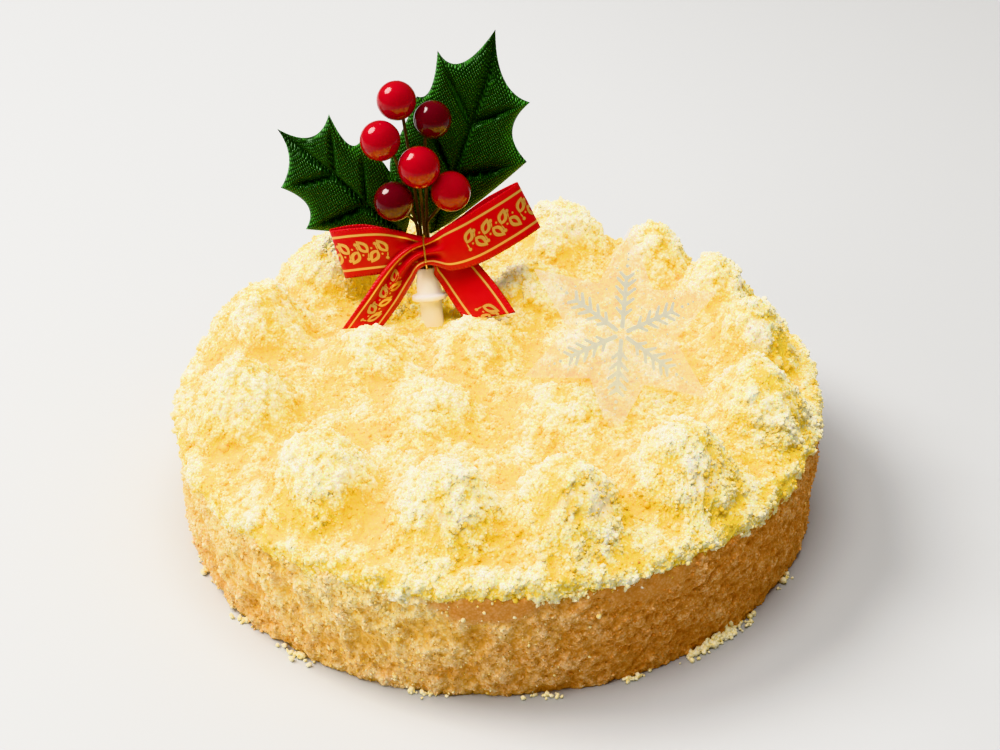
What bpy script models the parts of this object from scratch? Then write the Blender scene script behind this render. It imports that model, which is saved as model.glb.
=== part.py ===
"""A round cheesecake coated in sponge crumbs, with cream mounds on top, a holly pick and a star plate.

The origin is the centre of the flat underside, +Z is up, and the cake is seen from -Y. Units are metres.
"""
import math
import random

import bmesh
import bpy
from mathutils import Matrix, Vector, noise

MM = 0.001
GAP = 0.35 * MM                 # clearance between pieces that touch

# The cake: a 15 cm round, a little narrower at its foot
CAKE_RADIUS = 75 * MM
FOOT_RADIUS = 73 * MM
RIM_HEIGHT = 33 * MM
BED_HEIGHT = 36.5 * MM          # the crumb bed that the cream mounds sit on
RIM_ROUND = 3.5 * MM
TOP_CELLS = 30                  # mesh cells across the top
WALL_CELLS = 10                 # mesh cells down the wall, the first two round the rim
ROUND_CELLS = 2
CRUMB_RELIEF = 0.8 * MM
CLUMP_RELIEF = 1.1 * MM
CLUMP_SPACING = 7 * MM

# The cream mounds, piped in an outer ring and an inner group, in degrees and millimetres from the centre
OUTER_MOUNDS = (
    (-18, 62), (6, 60), (27, 60), (48, 59), (73, 59), (104, 59), (134, 60),
    (161, 60), (193, 60), (229, 59), (258, 57), (284, 58), (312, 59),
)
INNER_MOUNDS = ((169, 30), (121, 9.5), (230, 24), (306, 25), (13, 22), (75, 34))
MOUND_RADIUS = 13 * MM
MOUND_HEIGHT = 14.5 * MM
INNER_RADIUS = 11 * MM
INNER_HEIGHT = 9 * MM
MOUND_SHAPE = 2.2               # 2 is a paraboloid, less is more pointed
MOUND_DETAIL = 3                # icosphere subdivisions

# The holly pick, in its own frame: X to the right, Z up its stem and -Y towards the front
PICK_FOOT = Vector((-15.1, 24.0, 37.7)) * MM
PICK_TILT_BACK = math.radians(20)
PICK_LEAN_LEFT = math.radians(5)
STUB_TOP = 11 * MM
STUB_TOP_RADIUS = 2.45 * MM
COLLAR_RADIUS = 3.05 * MM
SHAFT_RADIUS = 2.65 * MM
STUB_BORE = 2.0 * MM
STUB_BORE_FLOOR = 8.5 * MM
STUB_DEPTH = 6.0 * MM           # how far the shaft goes below the pick's origin
FLANGE_RADIUS = 4.35 * MM
FLANGE_TOP = 4.5 * MM
FLANGE_THICKNESS = 1.2 * MM
WIRE_RADIUS = 0.38 * MM
BUNDLE_RADIUS = 1.35 * MM
BUNDLE_DEPTH = 2.3 * MM         # the wires run this far behind the ribbon's plane
BUNDLE_BEND = (11, 13.5)        # heights in millimetres between which the wires come forward to the foot
BUNDLE_TOP = 21                 # height in millimetres where the wires part
BUNDLE_HEIGHTS = (16, 12.2, 10.9, 9.1)
SOCKET_MOUTH = 3 * MM           # how far over the pick's origin the hole in the cake is cut

# Berries: centre in the pick's frame and radius in millimetres, and the stem's bearing in the bundle
BERRIES = (
    ("berry_1", (-2.1, -3.0, 51.6), 4.66, 112),
    ("berry_2", (5.7, -2.0, 46.1), 4.50, 20),
    ("berry_3", (-6.9, -5.5, 43.0), 4.79, 160),
    ("berry_4", (1.4, -6.5, 35.9), 5.00, 292),
    ("berry_5", (-5.5, -5.0, 28.4), 4.70, 210),
    ("berry_6", (8.0, -3.0, 28.9), 4.80, 338),
)

# Leaves, in millimetres: Y of the seam, X and Z of the midrib, and each edge from the foot to the tip as
# spike, hollow, spike ..., with the share of the midrib where the vein of each spike starts
LEAVES = {
    "leaf_left": {
        "depth": 7.0,
        "midrib": ((-4.2, 18.6), (-11.7, 26.0), (-15.6, 30.8), (-19.8, 35.6), (-31.6, 47.0)),
        "left": (((-4.2, 18.6), (-11.5, 19.4), (-27.7, 22.8), (-26.6, 28.4), (-32.3, 33.4), (-29.6, 40.0),
                  (-31.6, 47.0)), (0.0, 0.30, 0.56, 1.0)),
        "right": (((-4.2, 18.6), (-2.4, 27.0), (-6.4, 34.4), (-8.6, 38.3), (-12.2, 42.1), (-15.4, 42.3),
                   (-18.7, 49.5), (-23.8, 44.4), (-31.6, 47.0)), (0.0, 0.15, 0.30, 0.56, 1.0)),
    },
    "leaf_right": {
        "depth": 9.2,
        "midrib": ((1.6, 17.4), (6.5, 26.8), (11.2, 36.4), (15.1, 44.4), (19.8, 54.8), (22.7, 64.3)),
        "left": (((1.6, 17.4), (-5.6, 29.0), (-4.8, 39.0), (-0.7, 45.6), (2.4, 51.1), (5.9, 52.6), (8.6, 61.3),
                  (13.9, 57.6), (22.7, 64.3)), (0.0, 0.15, 0.30, 0.56, 1.0)),
        "right": (((1.6, 17.4), (12.0, 22.8), (26.6, 32.6), (24.0, 40.2), (28.9, 46.6), (23.4, 52.6),
                   (22.7, 64.3)), (0.0, 0.30, 0.56, 1.0)),
    },
}
LEAF_FOLD = 0.10                # how far the edges come forward, as a share of their distance from the midrib
LEAF_CURL = 2.0 * MM            # how far the middle of the leaf comes forward
LEAF_THICKNESS = 1.0 * MM
LEAF_PUFF = 1.1 * MM
LEAF_ROW_CELLS = 4              # mesh cells along the leaf between two veins
LEAF_CROSS_CELLS = 4

# The ribbon, 12 mm wide: one strip from the left tail over the knot, round both loops, to the right tail
RIBBON_THICKNESS = 0.35 * MM
RIBBON_CELLS = 62
RIBBON_CROSS_CELLS = 4

# The wire round the knot: its Y and Z in the pick's frame, in millimetres
TIE_X = 0.3
TIE_RADIUS = 0.2 * MM
TIE_ROUTE = (
    (-6.5, 13.0), (-6.6, 15.4), (-6.5, 17.8), (-5.9, 18.9), (-4.8, 19.4), (-3.2, 19.4), (-2.0, 19.1),
    (-1.5, 18.2), (-1.5, 15.0), (-1.5, 12.6), (-1.9, 11.7), (-3.2, 11.4), (-4.8, 11.4), (-5.9, 11.9),
)

# The star plate
STAR_CENTRE = Vector((28.1, -12.4, 53.0)) * MM
STAR_RADIUS = 24.6 * MM
STAR_INNER = 12.4 * MM
STAR_THICKNESS = 0.6 * MM
STAR_NORMAL = (0.184, -0.765, 0.617)
STAR_FIRST_POINT = (0.118, 0.641, 0.759)    # direction of its topmost point


def clear_scene():
    for obj in list(bpy.data.objects):
        bpy.data.objects.remove(obj)


def make_collection(name):
    collection = bpy.data.collections.new(name)
    bpy.context.scene.collection.children.link(collection)
    return collection


def make_material(name, colour, roughness, metallic=0.0, alpha=1.0):
    material = bpy.data.materials.new(name)
    material.use_nodes = True
    shader = material.node_tree.nodes["Principled BSDF"]
    shader.inputs["Base Color"].default_value = (*colour, 1.0)
    shader.inputs["Roughness"].default_value = roughness
    shader.inputs["Metallic"].default_value = metallic
    shader.inputs["Alpha"].default_value = alpha
    return material


def add_object(name, data, collection, material=None, parent=None):
    obj = bpy.data.objects.new(name, data)
    collection.objects.link(obj)
    obj.parent = parent
    if material:
        obj.data.materials.append(material)
    return obj


def mesh_from(bm, name, smooth=False):
    bmesh.ops.recalc_face_normals(bm, faces=bm.faces)
    mesh = bpy.data.meshes.new(name)
    bm.to_mesh(mesh)
    bm.free()
    if smooth:
        mesh.shade_smooth()
        mesh.set_sharp_from_angle(angle=math.radians(40))
    return mesh


def cut(obj, cutter):
    """Cuts the cutter's shape out of the object."""
    modifier = obj.modifiers.new("cut_" + cutter.name, "BOOLEAN")
    modifier.operation = "DIFFERENCE"
    modifier.object = cutter


def make_cutter(obj):
    obj.hide_render = True
    obj.display_type = "WIRE"
    return obj


def smoothstep(low, high, value):
    share = min(1.0, max(0.0, (value - low) / (high - low)))
    return share * share * (3 - 2 * share)


def crumb_relief(point, seed):
    """Height of the crumb coat at a point, from -1 to 1 in each of a fine and a coarse part."""
    fine = random.Random(f"{seed}:{point.x:.5f}:{point.y:.5f}:{point.z:.5f}").uniform(-1, 1)
    coarse = noise.noise(point / CLUMP_SPACING + Vector((seed, 0, 0)))
    return fine * CRUMB_RELIEF + coarse * CLUMP_RELIEF


def polar(angle_deg, distance):
    angle = math.radians(angle_deg)
    return Vector((distance * math.cos(angle), distance * math.sin(angle), 0))


def mound_places():
    """Name, centre, radius and height of each cream mound. Close neighbours share the space between them."""
    centres = [polar(angle, distance * MM) for angle, distance in OUTER_MOUNDS + INNER_MOUNDS]
    places = []
    for index, centre in enumerate(centres):
        outer = index < len(OUTER_MOUNDS)
        nearest = min((centre - other).length for other in centres if other is not centre)
        radius = min(MOUND_RADIUS if outer else INNER_RADIUS, nearest / 2 - GAP / 2)
        height = MOUND_HEIGHT if outer else INNER_HEIGHT
        places.append((f"cream_mound_{index + 1:02d}", centre, radius, height))
    return places


def wall_profile(share):
    """Radius and height of the cake's side, from the edge of the top at 0 to the foot at 1."""
    round_share = ROUND_CELLS / WALL_CELLS
    if share < round_share:
        angle = math.pi / 2 * share / round_share
        radius = CAKE_RADIUS - RIM_ROUND * (1 - math.sin(angle))
        return radius, RIM_HEIGHT - RIM_ROUND * (1 - math.cos(angle))
    down = (share - round_share) / (1 - round_share)
    bulge = 0.8 * MM * math.sin(math.pi * down)
    radius = CAKE_RADIUS + (FOOT_RADIUS - CAKE_RADIUS) * down + bulge
    return radius, (RIM_HEIGHT - RIM_ROUND) * (1 - down)


def disc_point(x, y):
    """A point of the square from -1 to 1 as a direction and a distance on the disc, cells kept even."""
    if x == 0 and y == 0:
        return Vector((1, 0, 0)), 0.0
    if abs(x) > abs(y):
        reach, angle = x, math.pi / 4 * y / x
    else:
        reach, angle = y, math.pi / 2 - math.pi / 4 * x / y
    direction = Vector((math.cos(angle), math.sin(angle), 0)) * (1 if reach > 0 else -1)
    return direction, abs(reach)


def bed_point(direction, share, mounds):
    """The top of the cake between the mounds, lower towards the rim and never above a mound's foot."""
    edge = CAKE_RADIUS - RIM_ROUND
    point = direction * (share * edge)
    height = BED_HEIGHT + (RIM_HEIGHT - BED_HEIGHT) * smoothstep(0.9, 1.0, share)
    clear = min((point - centre).length - radius for _, centre, radius, _ in mounds)
    relief = crumb_relief(point, 3)
    open_bed = smoothstep(2.5 * MM, 5 * MM, clear)
    lowered = -abs(relief) * smoothstep(-2 * MM, 1 * MM, clear)
    return point + Vector((0, 0, height + lowered * (1 - open_bed) + relief * open_bed))


def make_cake(collection, material, mounds):
    """A cube with its section mapped to a disc and crumb relief on its top and wall, then centred."""
    bm = bmesh.new()
    bmesh.ops.create_cube(bm, size=2)
    upright = [edge for edge in bm.edges if abs(edge.verts[0].co.z - edge.verts[1].co.z) > 1]
    level = [edge for edge in bm.edges if edge not in upright]
    bmesh.ops.subdivide_edges(bm, edges=level, cuts=TOP_CELLS - 1, use_grid_fill=True)
    upright = [edge for edge in bm.edges if abs(edge.verts[0].co.z - edge.verts[1].co.z) > 1]
    bmesh.ops.subdivide_edges(bm, edges=upright, cuts=WALL_CELLS - 1, use_grid_fill=True)
    for vert in bm.verts:
        x, y, z = vert.co
        direction, share = disc_point(x, y)
        if z > 0.999 and share < 0.999:
            vert.co = bed_point(direction, share, mounds)
        elif z > -0.999:
            radius, height = wall_profile((1 - z) / 2)
            point = direction * radius + Vector((0, 0, height))
            vert.co = point + direction * crumb_relief(point, 7)
        else:
            point = direction * (FOOT_RADIUS * share)
            vert.co = point + direction * abs(crumb_relief(point, 9)) * (share > 0.999)
    under = [face for face in bm.faces if max(vert.co.z for vert in face.verts) < 1e-6]
    bmesh.ops.dissolve_faces(bm, faces=under)
    bmesh.ops.triangulate(bm, faces=bm.faces)
    for axis in (0, 1):
        values = [vert.co[axis] for vert in bm.verts]
        middle = (min(values) + max(values)) / 2
        for vert in bm.verts:
            vert.co[axis] -= middle
    return add_object("cake", mesh_from(bm, "cake"), collection, material)


def make_mound(place, collection, material):
    """One piped mound of cream under crumbs: an icosphere whose lower half is pressed flat."""
    name, centre, radius, height = place
    bm = bmesh.new()
    bmesh.ops.create_icosphere(bm, subdivisions=MOUND_DETAIL, radius=1)
    seed = sum(map(ord, name))
    for vert in bm.verts:
        level = Vector((vert.co.x, vert.co.y, 0))
        if vert.co.z <= 0.02:
            vert.co = level * radius / max(level.length, 1.0)
            continue
        out = math.acos(min(1.0, vert.co.z)) / (math.pi / 2)
        rise = height * (1 - out ** MOUND_SHAPE)
        point = level.normalized() * radius * out + Vector((0, 0, rise))
        keep_in = min(1.0, (1 - out) * 6)
        relief = crumb_relief(centre + point, seed) * keep_in * 0.7
        vert.co = point + Vector((level.x * 0.6, level.y * 0.6, 1)).normalized() * relief
    under = [face for face in bm.faces if max(vert.co.z for vert in face.verts) < 1e-6]
    bmesh.ops.dissolve_faces(bm, faces=under)
    bmesh.ops.triangulate(bm, faces=bm.faces)
    mound = add_object(name, mesh_from(bm, name), collection, material)
    mound.location = centre + Vector((0, 0, BED_HEIGHT + GAP))
    return mound


def pick_frame(collection):
    """An empty at the pick's foot, leaning back and to the left as the pick does."""
    frame = add_object("pick_frame", None, collection)
    turn = Matrix.Rotation(-PICK_TILT_BACK, 4, "X") @ Matrix.Rotation(-PICK_LEAN_LEFT, 4, "Y")
    frame.matrix_world = Matrix.Translation(PICK_FOOT) @ turn
    return frame


def turned(name, profile, collection, material, parent, steps=20):
    """A solid of revolution about Z. The profile of (radius, height) runs down its outer side."""
    bm = bmesh.new()
    verts = [bm.verts.new((radius, 0, height)) for radius, height in profile]
    for pair in zip(verts, verts[1:]):
        bm.edges.new(pair)
    mesh = bpy.data.meshes.new(name)
    bm.to_mesh(mesh)
    bm.free()
    obj = add_object(name, mesh, collection, material, parent)
    screw = obj.modifiers.new("turn", "SCREW")
    screw.steps = screw.render_steps = steps
    screw.use_merge_vertices = True
    screw.merge_threshold = 0.01 * MM
    screw.use_smooth_shade = True
    return obj


def stub_profile():
    """The white plastic foot: a tapered collar with a bore for the wires, a round flange and a shaft."""
    return [
        (0, STUB_BORE_FLOOR),
        (STUB_BORE, STUB_BORE_FLOOR),
        (STUB_BORE, STUB_TOP),
        (STUB_TOP_RADIUS - 0.15 * MM, STUB_TOP),
        (STUB_TOP_RADIUS, STUB_TOP - 0.2 * MM),
        (COLLAR_RADIUS, FLANGE_TOP + 0.5 * MM),
        (COLLAR_RADIUS + 0.4 * MM, FLANGE_TOP),
        (FLANGE_RADIUS - 0.3 * MM, FLANGE_TOP),
        (FLANGE_RADIUS, FLANGE_TOP - 0.3 * MM),
        (FLANGE_RADIUS, FLANGE_TOP - FLANGE_THICKNESS + 0.3 * MM),
        (FLANGE_RADIUS - 0.3 * MM, FLANGE_TOP - FLANGE_THICKNESS),
        (SHAFT_RADIUS, FLANGE_TOP - FLANGE_THICKNESS),
        (SHAFT_RADIUS, -STUB_DEPTH),
        (0, -STUB_DEPTH),
    ]


def make_socket_cutter(collection, parent):
    """The hole that the pick's shaft makes in the crumbs and the cake."""
    radius = SHAFT_RADIUS + GAP
    profile = [(0, SOCKET_MOUTH), (radius, SOCKET_MOUTH), (radius, -STUB_DEPTH - GAP), (0, -STUB_DEPTH - GAP)]
    return make_cutter(turned("pick_socket", profile, collection, None, parent))


def catmull_rom(points, cells):
    """Even samples along a smooth curve through the points, which are tuples of any length."""
    samples = []
    last = len(points) - 1
    for index in range(cells + 1):
        position = index / cells * last
        start = min(int(position), last - 1)
        t = position - start
        p0, p1, p2, p3 = (points[min(max(start + step, 0), last)] for step in (-1, 0, 1, 2))
        samples.append(tuple(
            0.5 * (2 * b + (c - a) * t + (2 * a - 5 * b + 4 * c - d) * t * t
                   + (3 * b - a - 3 * c + d) * t ** 3)
            for a, b, c, d in zip(p0, p1, p2, p3)))
    return samples


def make_tube(name, points, radius, collection, material, parent, cyclic=False):
    """A wire through the points, as a curve with a round bevel."""
    curve = bpy.data.curves.new(name, "CURVE")
    curve.dimensions = "3D"
    curve.bevel_depth = radius
    curve.bevel_resolution = 1
    curve.use_fill_caps = True
    spline = curve.splines.new("POLY")
    spline.points.add(len(points) - 1)
    for target, point in zip(spline.points, points):
        target.co = (*point[:3], 1)
    spline.use_cyclic_u = cyclic
    return add_object(name, curve, collection, material, parent)


def bundle_point(bearing, height):
    """Where the wire with this bearing stands in the bundle that goes down into the foot."""
    angle = math.radians(bearing)
    return (BUNDLE_RADIUS * math.cos(angle), BUNDLE_DEPTH * smoothstep(*BUNDLE_BEND, height)
            + BUNDLE_RADIUS * math.sin(angle), height * MM)


def stem_route(bearing, centre, radius):
    """From the underside of a berry back and down into the bundle."""
    below = Vector((-0.12 * centre.x, BUNDLE_DEPTH + 0.2 * MM, centre.z - radius - 6 * MM)) - centre
    start = centre + below.normalized() * (radius + GAP)
    join = bundle_point(bearing, BUNDLE_TOP)
    middle = ((start.x + join[0]) / 2, join[1] + 0.4 * MM, (start.z + join[2]) / 2)
    down = [bundle_point(bearing, height) for height in BUNDLE_HEIGHTS]
    return catmull_rom([tuple(start), middle, join, *down], 12)


def make_berries(collection, parent, reds, wire):
    for name, centre, radius, bearing in BERRIES:
        centre = Vector(centre) * MM
        bm = bmesh.new()
        bmesh.ops.create_uvsphere(bm, u_segments=16, v_segments=10, radius=radius * MM)
        berry = add_object(name, mesh_from(bm, name, smooth=True), collection, reds[name], parent)
        berry.location = centre
        make_tube(name + "_stem", stem_route(bearing, centre, radius * MM), WIRE_RADIUS, collection,
                  wire, parent)


def leaf_rim(side, share):
    """Point on the leaf's edge for a share of the midrib, and how far it is between two veins, 0 to 1."""
    edge, shares = side
    arc = max(index for index, start in enumerate(shares[:-1]) if start <= share)
    t = (share - shares[arc]) / (shares[arc + 1] - shares[arc])
    start, hollow, end = (Vector(point) * MM for point in edge[2 * arc:2 * arc + 3])
    return start * (1 - t) * (1 - 2 * t) + hollow * 4 * t * (1 - t) + end * t * (2 * t - 1), t


def leaf_shares(leaf):
    """The shares of the midrib at which the leaf's rows of points start."""
    veins = sorted(set(leaf["left"][1] + leaf["right"][1]))
    return [start + (end - start) * step / LEAF_ROW_CELLS
            for start, end in zip(veins, veins[1:]) for step in range(LEAF_ROW_CELLS)] + [1.0]


def leaf_puff(between_veins, across):
    """Padding of the leaf: full between the side veins, pulled in at the midrib, the veins and the edge."""
    vein = min(1.0, abs(math.sin(math.pi * between_veins)) * 1.6)
    return LEAF_PUFF * vein * min(1.0, abs(across) * 3) * (1 - abs(across) ** 4)


def point_along(points, share):
    """The point at a share of the length of a line through the points."""
    steps = [(end - start).length for start, end in zip(points, points[1:])]
    left = share * sum(steps)
    for start, end, step in zip(points, points[1:], steps):
        if left <= step:
            return start.lerp(end, left / step)
        left -= step
    return points[-1]


def make_leaf(name, collection, material, parent):
    """A padded holly leaf: a grid between the midrib and the two edges, made solid."""
    leaf = LEAVES[name]
    shares = leaf_shares(leaf)
    midrib = [Vector(point) * MM for point in catmull_rom(leaf["midrib"], 40)]
    bm = bmesh.new()
    bmesh.ops.create_grid(bm, x_segments=2 * LEAF_CROSS_CELLS, y_segments=len(shares) - 1, size=1)
    for vert in bm.verts:
        across = vert.co.x
        share = shares[round((vert.co.y + 1) / 2 * (len(shares) - 1))]
        inner = point_along(midrib, share)
        rim, between_veins = leaf_rim(leaf["left" if across < 0 else "right"], share)
        place = inner.lerp(rim, abs(across))
        lift = (place - inner).length * LEAF_FOLD + LEAF_CURL * math.sin(math.pi * share)
        puff = leaf_puff(between_veins, across)
        vert.co = (place.x, leaf["depth"] * MM - lift - puff, place.y)
    bmesh.ops.remove_doubles(bm, verts=bm.verts, dist=0.01 * MM)
    obj = add_object(name, mesh_from(bm, name, smooth=True), collection, material, parent)
    solid = obj.modifiers.new("thickness", "SOLIDIFY")
    solid.thickness = LEAF_THICKNESS
    solid.offset = 0
    return obj


def ribbon_stations():
    """The ribbon's route in the pick's frame, in millimetres. Each station has its centre X, Y and Z, the
    direction of its width X, Y and Z, half its width, and how far its middle stands proud of its edges."""
    return (
        (-16.4, -8.0, -0.2, 0.90, 0.25, -0.08, 5.0, 0.3),     # end of the left tail
        (-11.3, -6.0, 5.2, 0.80, 0.32, -0.30, 4.5, 0.5),
        (-6.0, -5.0, 11.3, 0.62, 0.20, -0.62, 3.7, 0.8),
        (-2.2, -4.9, 14.6, 0.22, 0.00, -0.97, 3.0, 0.9),
        (1.6, -4.9, 15.5, 0.00, 0.00, -1.00, 3.2, 0.9),       # over the knot, in front
        (6.0, -5.9, 15.8, 0.10, 0.00, -1.00, 5.2, 0.6),
        (12.0, -6.9, 17.6, 0.25, 0.00, -0.97, 5.9, 0.3),      # front of the right loop
        (19.5, -6.0, 20.7, 0.33, 0.00, -0.94, 6.0, 0.1),
        (24.6, -3.8, 22.9, 0.35, 0.00, -0.94, 6.0, 0.0),
        (25.9, -1.9, 23.4, 0.35, 0.00, -0.94, 6.0, 0.0),      # round the right end
        (24.6, -0.2, 22.9, 0.35, 0.00, -0.94, 6.0, 0.0),
        (18.0, 0.5, 20.2, 0.33, 0.00, -0.94, 6.0, 0.1),
        (9.0, -1.6, 16.8, 0.15, 0.00, -0.99, 5.0, 0.4),       # back of the right loop
        (1.6, -3.6, 15.4, 0.00, 0.00, -1.00, 3.2, 0.9),       # over the knot, in the middle
        (-4.0, -4.0, 16.4, 0.05, 0.05, -1.00, 4.4, 0.6),
        (-9.5, -5.4, 17.2, 0.08, 0.10, -0.98, 5.7, 0.3),      # front of the left loop
        (-15.4, -5.0, 17.3, 0.16, 0.05, -0.98, 6.0, 0.1),
        (-19.6, -3.4, 17.0, 0.19, 0.00, -0.98, 6.0, 0.0),
        (-20.5, -1.6, 16.8, 0.19, 0.00, -0.98, 6.0, 0.0),     # round the left end
        (-19.5, 0.0, 17.0, 0.19, 0.00, -0.98, 6.0, 0.0),
        (-13.0, 0.6, 17.0, 0.16, 0.00, -0.98, 6.0, 0.1),
        (-6.0, -0.6, 16.2, 0.05, 0.00, -1.00, 4.6, 0.4),      # back of the left loop
        (1.2, -2.3, 15.2, 0.00, 0.00, -1.00, 3.2, 0.9),       # over the knot, at the back
        (5.6, -2.2, 11.8, -0.80, 0.00, -0.60, 4.6, 0.5),
        (9.4, -4.4, 6.4, -0.88, 0.10, -0.47, 5.4, 0.2),
        (14.0, -7.4, -1.2, -0.97, 0.25, -0.10, 6.2, 0.1),     # end of the right tail
    )


def make_ribbon(collection, material, parent):
    """One strip through the stations, made solid."""
    stations = catmull_rom(ribbon_stations(), RIBBON_CELLS)
    bm = bmesh.new()
    bmesh.ops.create_grid(bm, x_segments=RIBBON_CROSS_CELLS, y_segments=RIBBON_CELLS, size=1)
    for vert in bm.verts:
        across = vert.co.x
        index = round((vert.co.y + 1) / 2 * RIBBON_CELLS)
        row = stations[index]
        before, after = stations[max(index - 1, 0)], stations[min(index + 1, RIBBON_CELLS)]
        centre = Vector(row[:3])
        width = Vector(row[3:6]).normalized()
        forward = (Vector(after[:3]) - Vector(before[:3])).normalized()
        proud = forward.cross(width).normalized()
        if proud.y > 0 and abs(proud.y) > 0.5:
            proud = -proud
        vert.co = (centre + width * across * row[6] + proud * row[7] * (1 - across * across)) * MM
    obj = add_object("ribbon_bow", mesh_from(bm, "ribbon_bow", smooth=True), collection, material, parent)
    solid = obj.modifiers.new("thickness", "SOLIDIFY")
    solid.thickness = RIBBON_THICKNESS
    solid.offset = 0
    return obj


def make_bow_wire(collection, material, parent):
    """The thin wire tied round the knot, over its front and between the bow and the stems."""
    points = [Vector((TIE_X, *point)) * MM for point in TIE_ROUTE]
    make_tube("bow_wire", points, TIE_RADIUS, collection, material, parent, cyclic=True)


def star_matrix():
    normal = Vector(STAR_NORMAL).normalized()
    point = Vector(STAR_FIRST_POINT)
    up = (point - normal * point.dot(normal)).normalized()
    turn = Matrix((up.cross(normal), up, normal)).transposed().to_4x4()
    return Matrix.Translation(STAR_CENTRE) @ turn


def make_star(name, grow, collection, material=None):
    """A six-pointed plate cut from thin clear sheet."""
    curve = bpy.data.curves.new(name, "CURVE")
    curve.dimensions = "2D"
    curve.fill_mode = "BOTH"
    curve.extrude = STAR_THICKNESS / 2 + grow
    spline = curve.splines.new("POLY")
    spline.points.add(11)
    for index, point in enumerate(spline.points):
        radius = (STAR_INNER if index % 2 else STAR_RADIUS) + grow
        angle = math.pi / 2 + math.tau * index / 12
        point.co = (radius * math.cos(angle), radius * math.sin(angle), 0, 1)
    spline.use_cyclic_u = True
    obj = add_object(name, curve, collection, material)
    obj.matrix_world = star_matrix()
    return obj


def as_mesh(obj):
    """A welded mesh object in place of a curve object."""
    bpy.context.view_layer.update()
    graph = bpy.context.evaluated_depsgraph_get()
    mesh = bpy.data.meshes.new_from_object(obj.evaluated_get(graph))
    bm = bmesh.new()
    bm.from_mesh(mesh)
    bmesh.ops.remove_doubles(bm, verts=bm.verts, dist=0.01 * MM)
    bm.to_mesh(mesh)
    bm.free()
    name, matrix, collection = obj.name, obj.matrix_world.copy(), obj.users_collection[0]
    bpy.data.objects.remove(obj)
    solid = add_object(name, mesh, collection)
    solid.matrix_world = matrix
    return solid


def main():
    clear_scene()
    parts = make_collection("cheesecake")
    cutters = make_collection("cutters")
    crumb = make_material("crumb", (0.93, 0.80, 0.42), 0.85)
    cream = make_material("cream", (0.95, 0.90, 0.68), 0.6)
    plastic = make_material("white_plastic", (0.86, 0.82, 0.76), 0.35)
    wire = make_material("brown_wire", (0.10, 0.03, 0.02), 0.45)
    gold = make_material("gold_wire", (0.83, 0.60, 0.20), 0.3, metallic=1.0)
    red = make_material("red_lacquer", (0.62, 0.01, 0.02), 0.12)
    wine = make_material("wine_lacquer", (0.16, 0.003, 0.012), 0.12)
    satin = make_material("red_satin", (0.52, 0.005, 0.01), 0.4)
    felt = make_material("green_fabric", (0.02, 0.13, 0.02), 0.6)
    clear = make_material("frosted_sheet", (0.92, 0.86, 0.74), 0.35, alpha=0.35)
    reds = {name: wine if name in ("berry_2", "berry_5") else red for name, _, _, _ in BERRIES}

    mounds = mound_places()
    cake = make_cake(parts, crumb, mounds)
    mound_objects = [make_mound(place, parts, cream) for place in mounds]

    frame = pick_frame(parts)
    turned("pick_foot", stub_profile(), parts, plastic, frame)
    cut(cake, make_socket_cutter(cutters, frame))
    make_berries(parts, frame, reds, wire)
    for name in LEAVES:
        make_leaf(name, parts, felt, frame)
    make_ribbon(parts, satin, frame)
    make_bow_wire(parts, gold, frame)

    make_star("star_plate", 0.0, parts, clear)
    star_cutter = make_cutter(as_mesh(make_star("star_clearance", GAP, cutters)))
    for piece in (cake, *mound_objects):
        cut(piece, star_cutter)


if __name__ == "__main__":
    main()
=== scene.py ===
"""Looks of the crumb-coated cheesecake: crumb surfaces, scattered crumbs, holly pick, ribbon and star plate.

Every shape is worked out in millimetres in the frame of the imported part. Its mesh is then made in metres.
"""
import math
from contextlib import contextmanager

import bmesh
import bpy
import numpy as np
from mathutils import Matrix, Vector


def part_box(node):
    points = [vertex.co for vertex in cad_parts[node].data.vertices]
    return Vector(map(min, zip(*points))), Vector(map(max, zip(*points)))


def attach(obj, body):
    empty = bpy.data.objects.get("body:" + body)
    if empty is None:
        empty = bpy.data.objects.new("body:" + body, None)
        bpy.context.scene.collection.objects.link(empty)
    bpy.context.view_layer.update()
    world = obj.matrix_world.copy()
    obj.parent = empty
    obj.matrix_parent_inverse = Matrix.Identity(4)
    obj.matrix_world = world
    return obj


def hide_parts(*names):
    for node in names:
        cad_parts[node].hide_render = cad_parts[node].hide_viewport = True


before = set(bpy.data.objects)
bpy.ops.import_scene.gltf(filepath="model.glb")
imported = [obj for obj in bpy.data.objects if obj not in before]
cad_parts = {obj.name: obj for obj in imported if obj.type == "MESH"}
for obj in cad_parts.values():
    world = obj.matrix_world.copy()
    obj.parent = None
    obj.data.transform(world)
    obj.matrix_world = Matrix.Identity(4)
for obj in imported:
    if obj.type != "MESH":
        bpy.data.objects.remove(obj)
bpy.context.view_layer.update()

MM = 0.001
MOUND_NODES = [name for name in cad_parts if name.startswith("cream_mound")]

# The camera, from the rims of the cake in the photo
CAMERA_DISTANCE = 555.9
CAMERA_RISE = math.radians(34.435)
CAMERA_AIM_HEIGHT = 20.0
CAMERA_PITCH = math.radians(33.157)
CAMERA_YAW = math.radians(0.095)
CAMERA_ROLL = math.radians(-1.504)
CAMERA_LENS = 85.0

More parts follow.
